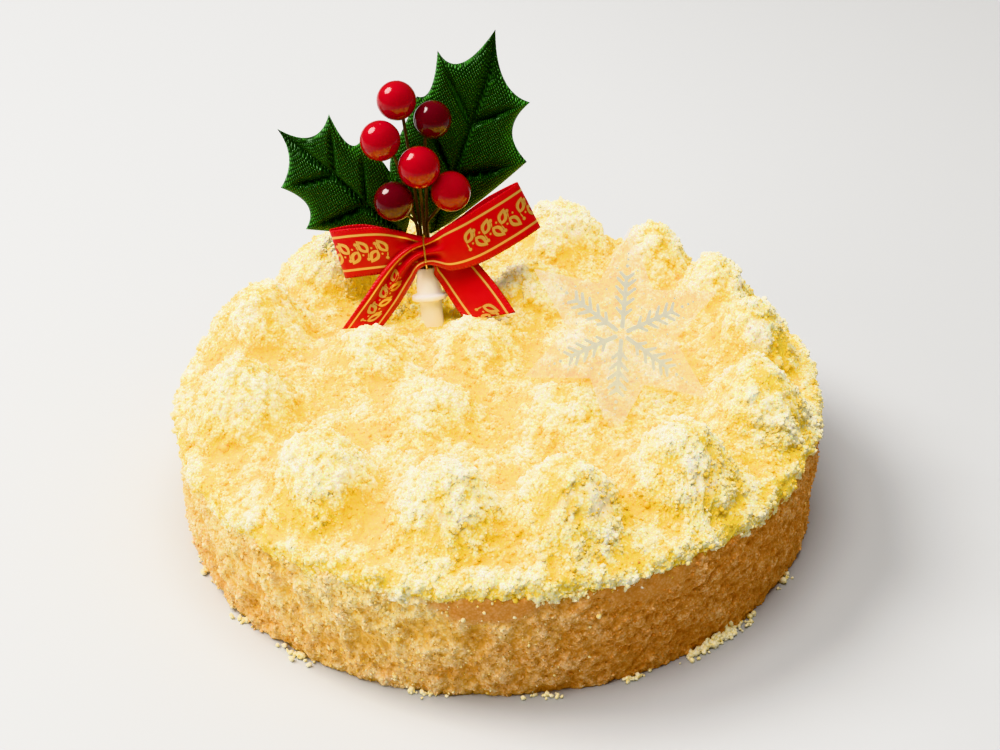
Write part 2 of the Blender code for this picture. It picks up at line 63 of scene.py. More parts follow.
# The cake, in millimetres as the solids have it
CAKE_RADIUS = 74.6
FOOT_RADIUS = 72.8
RIM_HEIGHT = 33.0
BED_HEIGHT = 36.3
RIM_ROUND = 4.5
REACH = 77.0  # how far out any crumb may reach
LOOSE_REACH = 76.2  # how far out the middle of a loose crumb may lie
TOP_CELLS = 272
TOP_SKIRT = 3.0  # how far the top's crumbs hang down the wall
WALL_TOP = 31.0
WALL_COLUMNS = 900
WALL_ROWS = 60
WALL_INSET = 1.7  # how far the wall is drawn in under the rim
WALL_INSET_FROM = 27.0  # the height where that begins
CRUMB_COVER = 1.2  # the crumbs' share of the height of a mound's solid
MOUND_BLEND = 2.8  # how softly the mounds run into each other and into the bed
BLEND_LIFT = 0.9  # what the blending adds to the height of a mound
MOUND_SHAPE = 2.2  # more is rounder on top
BARE_MOUND_RISE = 11  # mounds that are higher show some cream

# Places on the wall with few crumbs, under the front rim: angle, height, half width and half height
BARE_WALL = ((-92, 25.5, 11, 4.5), (-65, 26.5, 10, 5.5))

# Colours of the crumbs: deep, middle, pale, and what shows where they are bare. The deep colour is painted
# shade and glow for the hollows, the pale one painted light for the high tops.
TOP_COLOURS = ((0.96, 0.69, 0.11), (0.985, 0.885, 0.47), (1.0, 0.97, 0.79), (0.96, 0.94, 0.87))
# The wall's colours are darker and redder than the top's: partly its own more orange crumbs, partly painted
# shade and painted warm reflected light.
WALL_COLOURS = ((0.56, 0.19, 0.035), (0.70, 0.31, 0.085), (0.88, 0.55, 0.25), (0.62, 0.28, 0.08))
# Paler colours of the crumbs dusted on the wall, mostly at the front's left: partly spilled crumbs, partly
# painted light on that lit side.
DUSTING_AND_LIGHT = ((0.94, 0.62, 0.15), (0.98, 0.79, 0.35), (1.0, 0.91, 0.62))
# Leaf greens: darkest, middle, and a bright green that is mostly a painted highlight on the puffed ridges and
# the rim.
LEAF_GREENS = ((0.0002, 0.001, 0.0003), (0.0015, 0.009, 0.0015), (0.050, 0.24, 0.028))
GOLD = (0.80, 0.52, 0.17)
GRAIN_SIZE = 0.62  # of the finest crumbs, which are only relief and colour

# Scattered crumbs: how many, the smallest and the largest size, and where most fall over the rim
SCATTERED = {
    "top_crumbs_fine": (24000, 0.5, 1.0),
    "top_crumbs_round": (8600, 0.7, 1.5),
    "wall_crumbs_fine": (19000, 0.4, 0.9),
    "spilled_crumbs": (2600, 0.4, 1.1),
}
SPILL_BEARING = math.radians(205)

# Loose crumbs on the table: bearing in degrees, spread in degrees, how many
LOOSE_HEAPS = (
    (-50, 2.2, 150), (-55, 1.6, 50), (-43, 1.2, 14), (-128, 1.8, 24), (-143, 1.0, 12), (-104, 2.0, 16),
    (-84, 3.0, 18), (-68, 2.0, 14), (-28, 2.0, 12), (-160, 2.5, 12), (175, 2.0, 10), (5, 3.0, 12),
    (40, 4.0, 14), (80, 6.0, 18), (130, 5.0, 16),
)

# The pick's own frame: X to the right, Z up its stem and -Y towards the front
PICK_FOOT = Vector((-15.1, 24.0, 37.7))
PICK_TILT_BACK = math.radians(20)
PICK_LEAN_LEFT = math.radians(5)

# The star plate
STAR_CENTRE = Vector((28.1, -12.4, 53.0))
STAR_NORMAL = Vector((0.184, -0.765, 0.617))
STAR_FIRST_POINT = Vector((0.118, 0.641, 0.759))
STAR_RADIUS = 24.6
STAR_INNER = 12.4
STAR_THICKNESS = 0.5
STAR_BEVEL = 0.08

# The pick's foot, turned: radius and height from the bore down the outer side
FOOT_PROFILE = (
    (0.4, 8.5), (2.0, 8.5), (2.0, 10.8), (2.1, 11.0), (2.3, 11.0), (2.42, 10.9), (2.47, 10.7),
    (3.0, 5.2), (3.1, 4.85), (3.3, 4.6), (3.6, 4.5), (4.05, 4.5), (4.25, 4.42), (4.35, 4.2),
    (4.35, 3.6), (4.25, 3.38), (4.05, 3.3), (2.75, 3.3), (2.65, 3.2), (2.65, -5.6), (2.3, -6.0), (0.4, -6.0),
)
FOOT_STEPS = 72
CRISP_ANGLE = math.radians(35)
WIRE_RADIUS = 0.38
BUNDLE_RADIUS = 1.35
BUNDLE_DEPTH = 2.3

# Berries: middle, radius and the stem's bearing in the bundle
BERRIES = (
    ("berry_1", (-2.1, -3.0, 51.6), 4.66, 112),
    ("berry_2", (5.7, -2.0, 46.1), 4.50, 20),
    ("berry_3", (-6.9, -5.5, 43.0), 4.79, 160),
    ("berry_4", (1.4, -6.5, 35.9), 5.00, 292),
    ("berry_5", (-5.5, -5.0, 28.4), 4.70, 210),
    ("berry_6", (8.0, -3.0, 28.9), 4.80, 338),
)
WINE_BERRIES = ("berry_2", "berry_5")

# Leaves: Y of the seam, X and Z of the midrib, and each edge from the foot to the tip as spike, hollow,
# spike ..., with the share of the midrib where the vein of each spike starts
LEAVES = {
    "leaf_left": {
        "depth": 7.0,
        "midrib": ((-4.2, 18.6), (-11.7, 26.0), (-15.6, 30.8), (-19.8, 35.6), (-31.6, 47.0)),
        "left": (((-4.2, 18.6), (-11.5, 19.4), (-27.7, 22.8), (-26.6, 28.4), (-32.3, 33.4), (-29.6, 40.0),
                  (-31.6, 47.0)), (0.0, 0.30, 0.56, 1.0)),
        "right": (((-4.2, 18.6), (-2.4, 27.0), (-6.4, 34.4), (-8.6, 38.3), (-12.2, 42.1), (-15.4, 42.3),
                   (-18.7, 49.5), (-23.8, 44.4), (-31.6, 47.0)), (0.0, 0.15, 0.30, 0.56, 1.0)),
    },
    "leaf_right": {
        "depth": 9.2,
        "midrib": ((1.6, 17.4), (6.5, 26.8), (11.2, 36.4), (15.1, 44.4), (19.8, 54.8), (22.7, 64.3)),
        "left": (((1.6, 17.4), (-5.6, 29.0), (-4.8, 39.0), (-0.7, 45.6), (2.4, 51.1), (5.9, 52.6),
                  (8.6, 61.3), (13.9, 57.6), (22.7, 64.3)), (0.0, 0.15, 0.30, 0.56, 1.0)),
        "right": (((1.6, 17.4), (12.0, 22.8), (26.6, 32.6), (24.0, 40.2), (28.9, 46.6), (23.4, 52.6),
                   (22.7, 64.3)), (0.0, 0.30, 0.56, 1.0)),
    },
}
LEAF_FOLD = 0.10
LEAF_CURL = 2.0
LEAF_PUFF = 2.0
LEAF_BACK_PUFF = 0.6
LEAF_HALF_SEAM = 0.2
LEAF_ROWS = 120
LEAF_CROSS_CELLS = 32

# The ribbon: each station has its middle, the direction of its width, half its width and its crown
RIBBON_HALF = 6.0
PRINT_LIFT = 0.05
RIBBON_THICKNESS = 0.22
RIBBON_CELLS = 440
RIBBON_CROSS_CELLS = 28
RIBBON_PLEATS = 2.5
RIBBON_TURNED = (13 / 25, 22 / 25)  # between these shares of the strip its other side is the outer one
RIBBON_SPRIGS = ((2.0, False), (34.0, True), (48.5, True), (66.0, False), (90.0, True), (104.5, True),
                 (120.0, False), (146.0, True))
RIBBON_STATIONS = (
    (-16.4, -8.0, -0.2, 0.90, 0.25, -0.08, 5.0, 0.3),
    (-11.3, -6.0, 5.2, 0.80, 0.32, -0.30, 4.5, 0.5),
    (-6.0, -5.0, 11.3, 0.62, 0.20, -0.62, 3.7, 0.8),
    (-2.2, -4.9, 14.6, 0.22, 0.00, -0.97, 3.0, 0.9),
    (1.6, -4.9, 15.5, 0.00, 0.00, -1.00, 3.2, 0.9),
    (6.0, -5.9, 15.8, 0.10, 0.00, -1.00, 5.2, 0.6),
    (12.0, -6.9, 17.6, 0.25, 0.00, -0.97, 5.9, 0.3),
    (19.5, -6.0, 20.7, 0.33, 0.00, -0.94, 6.0, 0.1),
    (24.6, -3.8, 22.9, 0.35, 0.00, -0.94, 6.0, 0.0),
    (25.9, -1.9, 23.4, 0.35, 0.00, -0.94, 6.0, 0.0),
    (24.6, -0.2, 22.9, 0.35, 0.00, -0.94, 6.0, 0.0),
    (18.0, 0.5, 20.2, 0.33, 0.00, -0.94, 6.0, 0.1),
    (9.0, -1.6, 16.8, 0.15, 0.00, -0.99, 5.0, 0.4),
    (1.6, -3.6, 15.4, 0.00, 0.00, -1.00, 3.2, 0.9),
    (-4.0, -4.0, 16.4, 0.05, 0.05, -1.00, 4.4, 0.6),
    (-9.5, -5.4, 17.2, 0.08, 0.10, -0.98, 5.7, 0.3),
    (-15.4, -5.0, 17.3, 0.16, 0.05, -0.98, 6.0, 0.1),
    (-19.6, -3.4, 17.0, 0.19, 0.00, -0.98, 6.0, 0.0),
    (-20.5, -1.6, 16.8, 0.19, 0.00, -0.98, 6.0, 0.0),
    (-19.5, 0.0, 17.0, 0.19, 0.00, -0.98, 6.0, 0.0),
    (-13.0, 0.6, 17.0, 0.16, 0.00, -0.98, 6.0, 0.1),
    (-6.0, -0.6, 16.2, 0.05, 0.00, -1.00, 4.6, 0.4),
    (1.2, -2.3, 15.2, 0.00, 0.00, -1.00, 3.2, 0.9),
    (5.6, -2.2, 11.8, -0.80, 0.00, -0.60, 4.6, 0.5),
    (9.4, -4.4, 6.4, -0.88, 0.10, -0.47, 5.4, 0.2),
    (14.0, -7.4, -1.2, -0.97, 0.25, -0.10, 6.2, 0.1),
)

# The wire round the knot: its Y and Z at one X
TIE_X = 0.3
TIE_RADIUS = 0.2
TIE_SAMPLES = 340
TIE_CUT = 40  # samples left off at each end, so that the wire just meets itself
TIE_ROUTE = (
    (-6.5, 13.0), (-6.6, 15.4), (-6.5, 17.8), (-5.9, 18.9), (-4.8, 19.4), (-3.2, 19.4), (-2.0, 19.1),
    (-1.5, 18.2), (-1.5, 15.0), (-1.5, 12.6), (-1.9, 11.7), (-3.2, 11.4), (-4.8, 11.4), (-5.9, 11.9),
)

# The stage: its floor, the light of the room, and each light's bearing and height in degrees, distance,
# size, power and colour
FLOOR_HALF = 12000
FLOOR_COLOUR = (0.43, 0.445, 0.47)
ROOM_COLOUR = (1.0, 0.87, 0.73)
ROOM_STRENGTH = 0.22
LIGHT_AIM_HEIGHT = 30
LIGHTS = {
    "key": (158, 50, 900, 500, 10.7, (1.0, 0.97, 0.92)),
    "left_fill": (-152, 16, 1200, 900, 6.6, (1.0, 0.93, 0.83)),
    "top_fill": (-92, 84, 1200, 900, 16.5, (1.0, 0.97, 0.91)),
}

# Steps from a cell of the noise to the cells round it and to itself
NEIGHBOURS = [np.array(step) - 1 for step in np.ndindex(3, 3, 3)]


# Meshes from arrays

def new_object(name, data):
    obj = bpy.data.objects.new(name, data)
    bpy.context.scene.collection.objects.link(obj)
    return obj


def mesh_object(name, verts, faces, material, smooth=True):
    """An object from corners in millimetres and faces, which may have any number of corners."""
    mesh = bpy.data.meshes.new(name)
    faces = faces.tolist() if isinstance(faces, np.ndarray) else faces
    mesh.from_pydata((np.asarray(verts) * MM).tolist(), [], faces)
    if smooth:
        mesh.shade_smooth()
    mesh.materials.append(material)
    return new_object(name, mesh)


def finish_piece(obj, slot, *nodes):
    """Hangs the piece on the root body, which moves it, and hides the solids that it stands for. The slot,
    for its finish, is not used.
    """
    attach(obj, "root")
    if nodes:
        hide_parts(*nodes)


def store(obj, **numbers):
    """Keeps numbers for each point of the mesh, for the material to read."""
    for name, values in numbers.items():
        kept = obj.data.attributes.new(name, "FLOAT", "POINT")
        kept.data.foreach_set("value", (np.zeros(len(obj.data.vertices)) + values).astype(np.float32))


@contextmanager
def editable(obj):
    """The object's mesh in a form to edit, put back at the end."""
    bm = bmesh.new()
    bm.from_mesh(obj.data)
    yield bm
    bm.to_mesh(obj.data)
    bm.free()


def weld(obj):
    """Joins the points that meet and drops the faces that have no area."""
    with editable(obj) as bm:
        bmesh.ops.remove_doubles(bm, verts=bm.verts, dist=0.004 * MM)
        bmesh.ops.dissolve_degenerate(bm, edges=bm.edges, dist=0.001 * MM)
        bmesh.ops.recalc_face_normals(bm, faces=bm.faces)


def grid_faces(rows, columns, wrap=False):
    """Quads of a grid of points that is stored row by row; wrap joins the last column to the first."""
    across = columns if wrap else columns - 1
    row, column = np.meshgrid(np.arange(rows - 1), np.arange(across), indexing="ij")
    right = (column + 1) % columns
    corners = (row * columns + column, row * columns + right, (row + 1) * columns + right,
               (row + 1) * columns + column)
    return np.stack([c.ravel() for c in corners], 1)


def closed_rings(rings, sides):
    """Faces of rings of points that follow each other, with a cap at both ends."""
    last = (rings - 1) * sides
    caps = [list(range(sides))[::-1], list(range(last, last + sides))]
    return grid_faces(rings, sides, wrap=True).tolist() + caps


def two_sided(front, back, rims):
    """Corners and faces of two grids of points, one behind the other and joined along the rims."""
    rows, columns = front.shape[:2]
    size = rows * columns
    quads = grid_faces(rows, columns)
    sides = [np.stack([rim[:-1], rim[1:], rim[1:] + size, rim[:-1] + size], 1) for rim in rims]
    verts = np.concatenate([front.reshape(-1, 3), back.reshape(-1, 3)])
    return verts, np.concatenate([quads, quads[:, ::-1] + size, *sides])


def joined(parts):
    """Corners and faces of several meshes as one."""
    verts, faces, first = [], [], 0
    for part_verts, part_faces in parts:
        verts.append(part_verts)
        faces += (np.asarray(part_faces) + first).tolist()
        first += len(part_verts)
    return np.concatenate(verts), faces


def octahedron():
    verts = np.array(((1, 0, 0), (0, 1, 0), (-1, 0, 0), (0, -1, 0), (0, 0, 1), (0, 0, -1)), float)
    faces = np.array([(i, (i + 1) % 4, 4) for i in range(4)] + [((i + 1) % 4, i, 5) for i in range(4)])
    return verts, faces


def icosphere(subdivisions):
    """Corners and triangles of a ball of radius 1."""
    bm = bmesh.new()
    bmesh.ops.create_icosphere(bm, subdivisions=subdivisions, radius=1)
    verts = np.array([vert.co for vert in bm.verts])
    faces = np.array([[vert.index for vert in face.verts] for face in bm.faces])
    bm.free()
    return verts, faces


def unit(vectors):
    return vectors / np.maximum(np.linalg.norm(vectors, axis=-1, keepdims=True), 1e-9)


def vertex_normals(verts, quads):
    """Unit normals at the points of a quad mesh."""
    a, b, c, d = (verts[quads[:, i]] for i in range(4))
    face = np.cross(c - a, d - b)
    normals = np.zeros_like(verts)
    for i in range(4):
        np.add.at(normals, quads[:, i], face)
    return unit(normals)


def moved(points, matrix):
    """Points carried over by a 4 by 4 matrix."""
    matrix = np.array(matrix)
    return np.asarray(points) @ matrix[:3, :3].T + matrix[:3, 3]


# Noise that is the same on every run

def hashed(cells, seed):
    """A repeatable number from 0 to 1 for each cell of whole numbers."""
    x, y, z = (cells[..., i].astype(np.int64).astype(np.uint64) for i in range(3))
    mixed = x * np.uint64(73856093) ^ y * np.uint64(19349663) ^ z * np.uint64(83492791)
    mixed ^= np.uint64(seed * 2654435761)
    mixed = (mixed ^ (mixed >> np.uint64(29))) * np.uint64(0xBF58476D1CE4E5B9)
    mixed = (mixed ^ (mixed >> np.uint64(32))) * np.uint64(0x94D049BB133111EB)
    return (mixed >> np.uint64(40)).astype(np.float64) / 2 ** 24


def swell(points, size, seed):
    """Smooth noise from -1 to 1 whose bumps are about size millimetres wide."""
    scaled = points / size
    cell = np.floor(scaled)
    share = scaled - cell
    share = share * share * (3 - 2 * share)
    total = 0
    for step in np.ndindex(2, 2, 2):
        weight = np.prod(np.where(step, share, 1 - share), axis=-1)
        total = total + weight * hashed(cell + step, seed)
    return total * 2 - 1


def lumps(points, size, seed):
    """Round lumps of uneven size packed side by side: height from 0 to 1."""
    scaled = points / size
    cell = np.floor(scaled)
    height = np.zeros(len(points))
    for step in NEIGHBOURS:
        near = cell + step
        centre = near + np.stack([hashed(near, seed + i) for i in range(3)], -1)
        radius = 0.45 + 0.4 * hashed(near, seed + 3)
        gap = np.sum((scaled - centre) ** 2, -1)
        height = np.maximum(height, np.sqrt(np.maximum(radius ** 2 - gap, 0)))
    return height / 0.85


def smoothstep(low, high, value):
    share = np.clip((value - low) / (high - low), 0, 1)
    return share * share * (3 - 2 * share)


# Node materials

class Look:
    """A node material, built up from its textures to its shader."""

    def __init__(self, name):
        self.material = bpy.data.materials.new(name)
        self.material.use_nodes = True
        self.tree = self.material.node_tree
        self.shader = self.tree.nodes["Principled BSDF"]

    def fill(self, socket, value):
        """Links a socket to another one, or gives it a number, a direction or a colour."""
        if isinstance(value, bpy.types.NodeSocket):
            self.tree.links.new(value, socket)
        else:
            socket.default_value = (*value, 1) if socket.type == "RGBA" else value

    def shade(self, **values):
        """Fills inputs of the shader, with an underscore for each space of their names."""
        for name, value in values.items():
            self.fill(self.shader.inputs[name.replace("_", " ")], value)

    def node(self, kind, *values, **settings):
        """A new node with its settings and named inputs. The plain values go to its first inputs."""
        node = self.tree.nodes.new("ShaderNode" + kind)
        for name, value in settings.items():
            if hasattr(node, name):
                setattr(node, name, value)
            else:
                self.fill(node.inputs[name.replace("_", " ")], value)
        for socket, value in zip(node.inputs, values):
            self.fill(socket, value)
        return node

    def maths(self, operation, *values):
        return self.node("Math", *values, operation=operation).outputs[0]

    def times(self, value, factor, plus=0.0):
        """The value times the factor, plus another value."""
        return self.maths("MULTIPLY_ADD", value, factor, plus)

    def mix(self, share, first, second):
        """A mix of two colours, each a socket or a colour."""
        node = self.node("Mix", share, data_type="RGBA")
        self.fill(node.inputs[6], first)
        self.fill(node.inputs[7], second)
        return node.outputs[2]

    def ramp(self, value, colours, middle):
        """A colour ramp through three colours, the second one at middle."""
        node = self.node("ValToRGB", value)
        elements = node.color_ramp.elements
        for element, colour in zip(elements, (colours[0], colours[2])):
            element.color = (*colour, 1)
        elements.new(middle).color = (*colours[1], 1)
        return node.outputs["Color"]

    def stored(self, name):
        """A number that the mesh keeps for each point."""
        return self.node("Attribute", attribute_name=name).outputs["Fac"]

    def place(self):
        return self.node("TexCoord").outputs["Object"]

    def noise(self, size, detail=2.0):
        """Noise whose features are about size millimetres wide."""
        return self.node("TexNoise", self.place(), Scale=1 / (size * MM), Detail=detail).outputs["Fac"]

    def wave(self, value, length):
        """A sine of a stored distance in millimetres, from -1 to 1."""
        return self.maths("SINE", self.times(value, math.tau / length))

    def band(self, value, middle, half, soft):
        """1 where value is within half of the middle, with soft edges."""
        away = self.maths("ABSOLUTE", self.maths("SUBTRACT", value, middle))
        node = self.node("MapRange", away, half + soft, half - soft, interpolation_type="SMOOTHSTEP")
        return node.outputs["Result"]

    def bump(self, height, distance, strength):
        node = self.node("Bump", Height=height, Strength=strength, Distance=distance * MM)
        self.shade(Normal=node.outputs["Normal"])


def crumb_material(name, colours, grain_height, glow):
    """Sponge crumbs: a deep golden colour in the hollows as painted shade and glow between the crumbs, pale
    on the tops as painted light, bare cream, and paler spilled crumbs, partly painted light, where the mesh
    keeps them. The glow is the share of light that spreads inside."""
    look = Look(name)
    bare = look.stored("bare")
    grain = look.node("TexVoronoi", look.place(), Scale=1 / (GRAIN_SIZE * MM))
    bead = look.maths("SUBTRACT", 1.0, grain.outputs["Distance"])
    drift = look.times(look.noise(1.6, 3.0), 0.8, -0.97)
    # Painted shade: the beads' middles are painted paler and the gaps between them deeper golden; the beads
    # also shape the bump.
    tone = look.maths("ADD", look.stored("tone"), look.times(bead, 0.9, drift))
    plain, dusting_and_light = (look.ramp(tone, shades, 0.45) for shades in (colours, DUSTING_AND_LIGHT))
    crumb = look.mix(look.stored("dusted"), plain, dusting_and_light)
    look.shade(Base_Color=look.mix(bare, crumb, colours[3]), Roughness=0.8, Specular_IOR_Level=0.12,
               Subsurface_Weight=glow, Subsurface_Radius=(1.0, 0.7, 0.3), Subsurface_Scale=0.7 * MM)
    rough = look.times(bead, look.times(bare, -0.9, 1.0))
    look.bump(rough, grain_height, 0.9)
    return look.material


def lacquer(name, colour, other):
    """Glossy lacquer over a slightly uneven colour."""
    look = Look(name)
    look.shade(Base_Color=look.mix(look.noise(3.0), colour, other), Roughness=0.16, Specular_IOR_Level=0.35,
               Coat_Weight=0.3, Coat_Roughness=0.06, Subsurface_Weight=0.05, Subsurface_Scale=0.5 * MM)
    look.bump(look.noise(1.5), 0.02, 0.5)
    return look.material


def plain_material(name, colour, other, roughness, metallic=0.0, size=1.2):
    """A colour that drifts a little to another one, with a fine bump."""
    look = Look(name)
    look.shade(Base_Color=look.mix(look.noise(size), colour, other), Roughness=roughness, Metallic=metallic)
    look.bump(look.noise(size / 3, 3.0), 0.03, 0.6)
    return look.material


def satin_material():
    """Red satin ribbon with two gold lines and a looped selvedge."""
    look = Look("red_satin_ribbon")
    along = look.stored("along")
    away = look.maths("ABSOLUTE", look.stored("across"))
    worn = look.times(look.noise(0.5, 3.0), 0.2, 0.95)
    line = look.times(look.band(away, 4.15, 0.27, 0.05), worn)
    shade = look.times(look.noise(2.5, 3.0), 0.6, 0.2)
    red = look.mix(shade, (0.50, 0.001, 0.006), (0.36, 0.0, 0.004))
    look.shade(Base_Color=look.mix(line, red, GOLD), Metallic=look.times(line, 0.55), Roughness=0.4,
               Specular_IOR_Level=0.4, Sheen_Weight=0.12, Sheen_Roughness=0.4, Sheen_Tint=(1.0, 0.35, 0.3))
    threads = look.times(look.wave(along, 0.3), 0.5)
    loops = look.times(look.band(away, 5.75, 0.3, 0.12), look.wave(along, 0.75))
    look.bump(look.times(loops, 3.0, threads), 0.03, 0.7)
    return look.material


def leaf_material():
    """Woven dark green satin that gleams along its puffed ridges: the ridges and the rim are painted paler as
    a highlight, with sheen and gloss from the shader as well.
    """
    look = Look("green_satin_leaf")
    threads = []
    for turn, length in ((0.5, 0.5), (2.0, 0.6)):
        place = look.node("Mapping", look.place(), Rotation=(math.radians(-20), turn, 0)).outputs["Vector"]
        thread = look.node("TexWave", place, Scale=0.314 / (length * MM), Distortion=2.2, Detail=2.0,
                           Detail_Scale=1.2)
        threads.append(thread.outputs["Fac"])
    weave = look.times(*threads)
    tone = look.times(look.noise(2.2, 3.0), 0.5, -0.25)
    # Painted highlight: the puffed ridges and the rim are painted paler green; the weave and the noise vary
    # the colour too.
    for value, share in ((look.stored("puff"), 0.25), (look.stored("rim"), 0.5), (weave, 0.6)):
        tone = look.times(value, share, tone)
    look.shade(Base_Color=look.ramp(tone, LEAF_GREENS, 0.58), Roughness=0.34, Specular_IOR_Level=0.6,
               Specular_Tint=(0.45, 1.0, 0.4), Sheen_Weight=0.3, Sheen_Roughness=0.3,
               Sheen_Tint=(0.35, 1.0, 0.3))
    look.bump(weave, 0.28, 1.0)
    return look.material


def film_material():
    """Frosted see-through sheet with a faint darker fleck."""
    look = Look("frosted_film")
    fleck = look.noise(1.4, 3.0)
    look.shade(Base_Color=look.mix(fleck, (1.0, 0.94, 0.88), (0.98, 0.89, 0.84)), Roughness=0.32, IOR=1.45,
               Alpha=look.times(fleck, 0.12, 0.16))
    look.bump(look.noise(0.5), 0.02, 0.4)
    return look.material


# The crumb coat

def mound_places():
    """Middle, radius and height over the bed of each cream mound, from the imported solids."""
    places = []
    for node in MOUND_NODES:
        low, high = (np.array(corner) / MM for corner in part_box(node))
        middle = (low + high) / 2
        places.append((middle[0], middle[1], (high[0] - low[0]) / 2, high[2] - BED_HEIGHT - CRUMB_COVER))
    return places


def disc_grid(cells):
    """Directions and shares of the radius for a square grid that is drawn out to a disc."""
    line = np.linspace(-1, 1, cells + 1)
    x, y = (side.ravel() for side in np.meshgrid(line, line, indexing="xy"))
    wide = np.abs(x) > np.abs(y)
    reach = np.where(wide, x, y)
    safe = np.where(reach == 0, 1, reach)
    angle = np.where(wide, math.pi / 4 * y / safe, math.pi / 2 - math.pi / 4 * x / safe)
    angle = np.where(reach < 0, angle + math.pi, angle)
    return angle, np.abs(reach)


def top_profile(share):
    """Radius, height and outward lean from the middle of the top over the rim and down the wall."""
    flat = CAKE_RADIUS - RIM_ROUND
    corner = RIM_ROUND * math.pi / 2
    travelled = share * (flat + corner + TOP_SKIRT)
    turn = np.clip((travelled - flat) / RIM_ROUND, 0, math.pi / 2)
    down = np.clip(travelled - flat - corner, 0, None)
    radius = np.minimum(travelled, flat) + RIM_ROUND * np.sin(turn)
    height = RIM_HEIGHT - RIM_ROUND * (1 - np.cos(turn)) - down
    bed = (BED_HEIGHT - RIM_HEIGHT) * (1 - smoothstep(0.8, 1.0, np.minimum(travelled, flat) / flat))
    return radius, height + bed, turn


def crumb_relief(points):
    """Relief in millimetres of the clumped crumbs, and a share from 0 to 1 for their colour: low and deep in
    the hollows as painted shade, high and pale on the lumps as painted light, with some random drift.
    """
    warped = points + 0.6 * np.stack([swell(points, 1.8, 45 + i) for i in range(3)], 1)
    clumps = lumps(warped, 4.6, 11)
    small = lumps(warped, 2.1, 21)
    grains = lumps(points, 1.1, 31)
    wide = swell(points, 9.0, 41)
    relief = 0.75 * clumps + 0.8 * small * (0.45 + clumps) + 0.45 * grains + 0.35 * wide - 1.1
    # Painted shade and light: the colour share follows the height of the lumps, deep in the hollows and pale
    # on top.
    tone = 0.36 * clumps + 0.34 * small + 0.22 * grains + 0.2 * wide + 0.25 * swell(points, 4.5, 42)
    return relief, 1.5 * tone - 0.23


def bare_cream(x, y, mounds):
    """Where the cream shows between the crumbs: on the steep flanks of high mounds that face the front."""
    bare = np.zeros(len(x))
    for cx, cy, radius, height in mounds:
        dx, dy = (x - cx) / radius, (y - cy) / radius
        out = np.hypot(dx, dy)
        facing = (0.45 * dx - dy) / np.maximum(out, 0.2)
        flank = smoothstep(0.3, 0.5, out) * (1 - smoothstep(0.7, 0.95, out)) * smoothstep(0.2, 0.9, facing)
        bare = np.maximum(bare, flank * (height > BARE_MOUND_RISE))
    points = np.stack([x, y, np.zeros(len(x))], 1)
    patches = swell(points, 6.0, 51) * 0.8 + swell(points, 1.5, 52) * 0.7 + swell(points, 0.8, 53) * 0.6
    return 0.6 * smoothstep(0.35, 1.3, bare * (0.6 + patches))


def make_cake_top(material):
    """The crumb bed with the covered mounds, over the rim and a little down the wall. It also gives its
    surface for the scattered crumbs and how thickly they lie there."""
    mounds = mound_places()
    angle, share = disc_grid(TOP_CELLS)
    radius, height, turn = top_profile(share)
    x, y = radius * np.cos(angle), radius * np.sin(angle)
    level = 1 - smoothstep(0, 0.6, turn)
    total = np.ones(len(x))
    for cx, cy, size, rise in mounds:
        out = np.hypot(x - cx, y - cy) / size
        total += np.exp((rise - BLEND_LIFT) * (1 - np.minimum(out, 3) ** MOUND_SHAPE) / MOUND_BLEND)
    height = height + MOUND_BLEND * np.log(total) * level
    points = np.stack([x, y, height], 1)
    faces = grid_faces(TOP_CELLS + 1, TOP_CELLS + 1)
    normals = vertex_normals(points, faces)
    relief, tone = crumb_relief(points)
    on_top = level > 0.9
    bare = bare_cream(x, y, mounds) * on_top
    weight = np.clip(0.35 + 0.6 * tone, 0.25, 2) * (1 - 0.3 * bare)
    # Painted light and shade: mound tops are painted paler and the bed between them deeper.
    tone = tone + on_top * (0.42 * smoothstep(0.5, 8.5, height - BED_HEIGHT) - 0.1)
    hang = smoothstep(0, 1, (RIM_HEIGHT - RIM_ROUND - height) / TOP_SKIRT)
    relief = relief * (1 - 0.5 * bare) - 0.2 * bare
    relief += 0.4 * smoothstep(0.3, 1.0, turn) - hang
    points = points + normals * relief[:, None]
    top = mesh_object("cake_top_crumbs", points, faces, material)
    store(top, tone=tone, bare=bare, dusted=0)
    return top, (points, faces, tone, np.zeros(len(points))), weight


def wall_profile(down):
    """Radius of the wall from its top at 0 to the foot at 1."""
    return CAKE_RADIUS + (FOOT_RADIUS - CAKE_RADIUS) * down + 0.8 * np.sin(math.pi * down)


def spill_share(angle, z):
    """How thickly the top's crumbs have spilled over the wall: most at the front's left, under the rim. Their
    paler colour there is partly painted light on that lit side.
    """
    side = 0.06 + 0.94 * smoothstep(-0.05, 0.8, np.cos(angle - SPILL_BEARING))
    return side * (0.6 + 0.4 * smoothstep(0.1, 0.8, z / WALL_TOP))


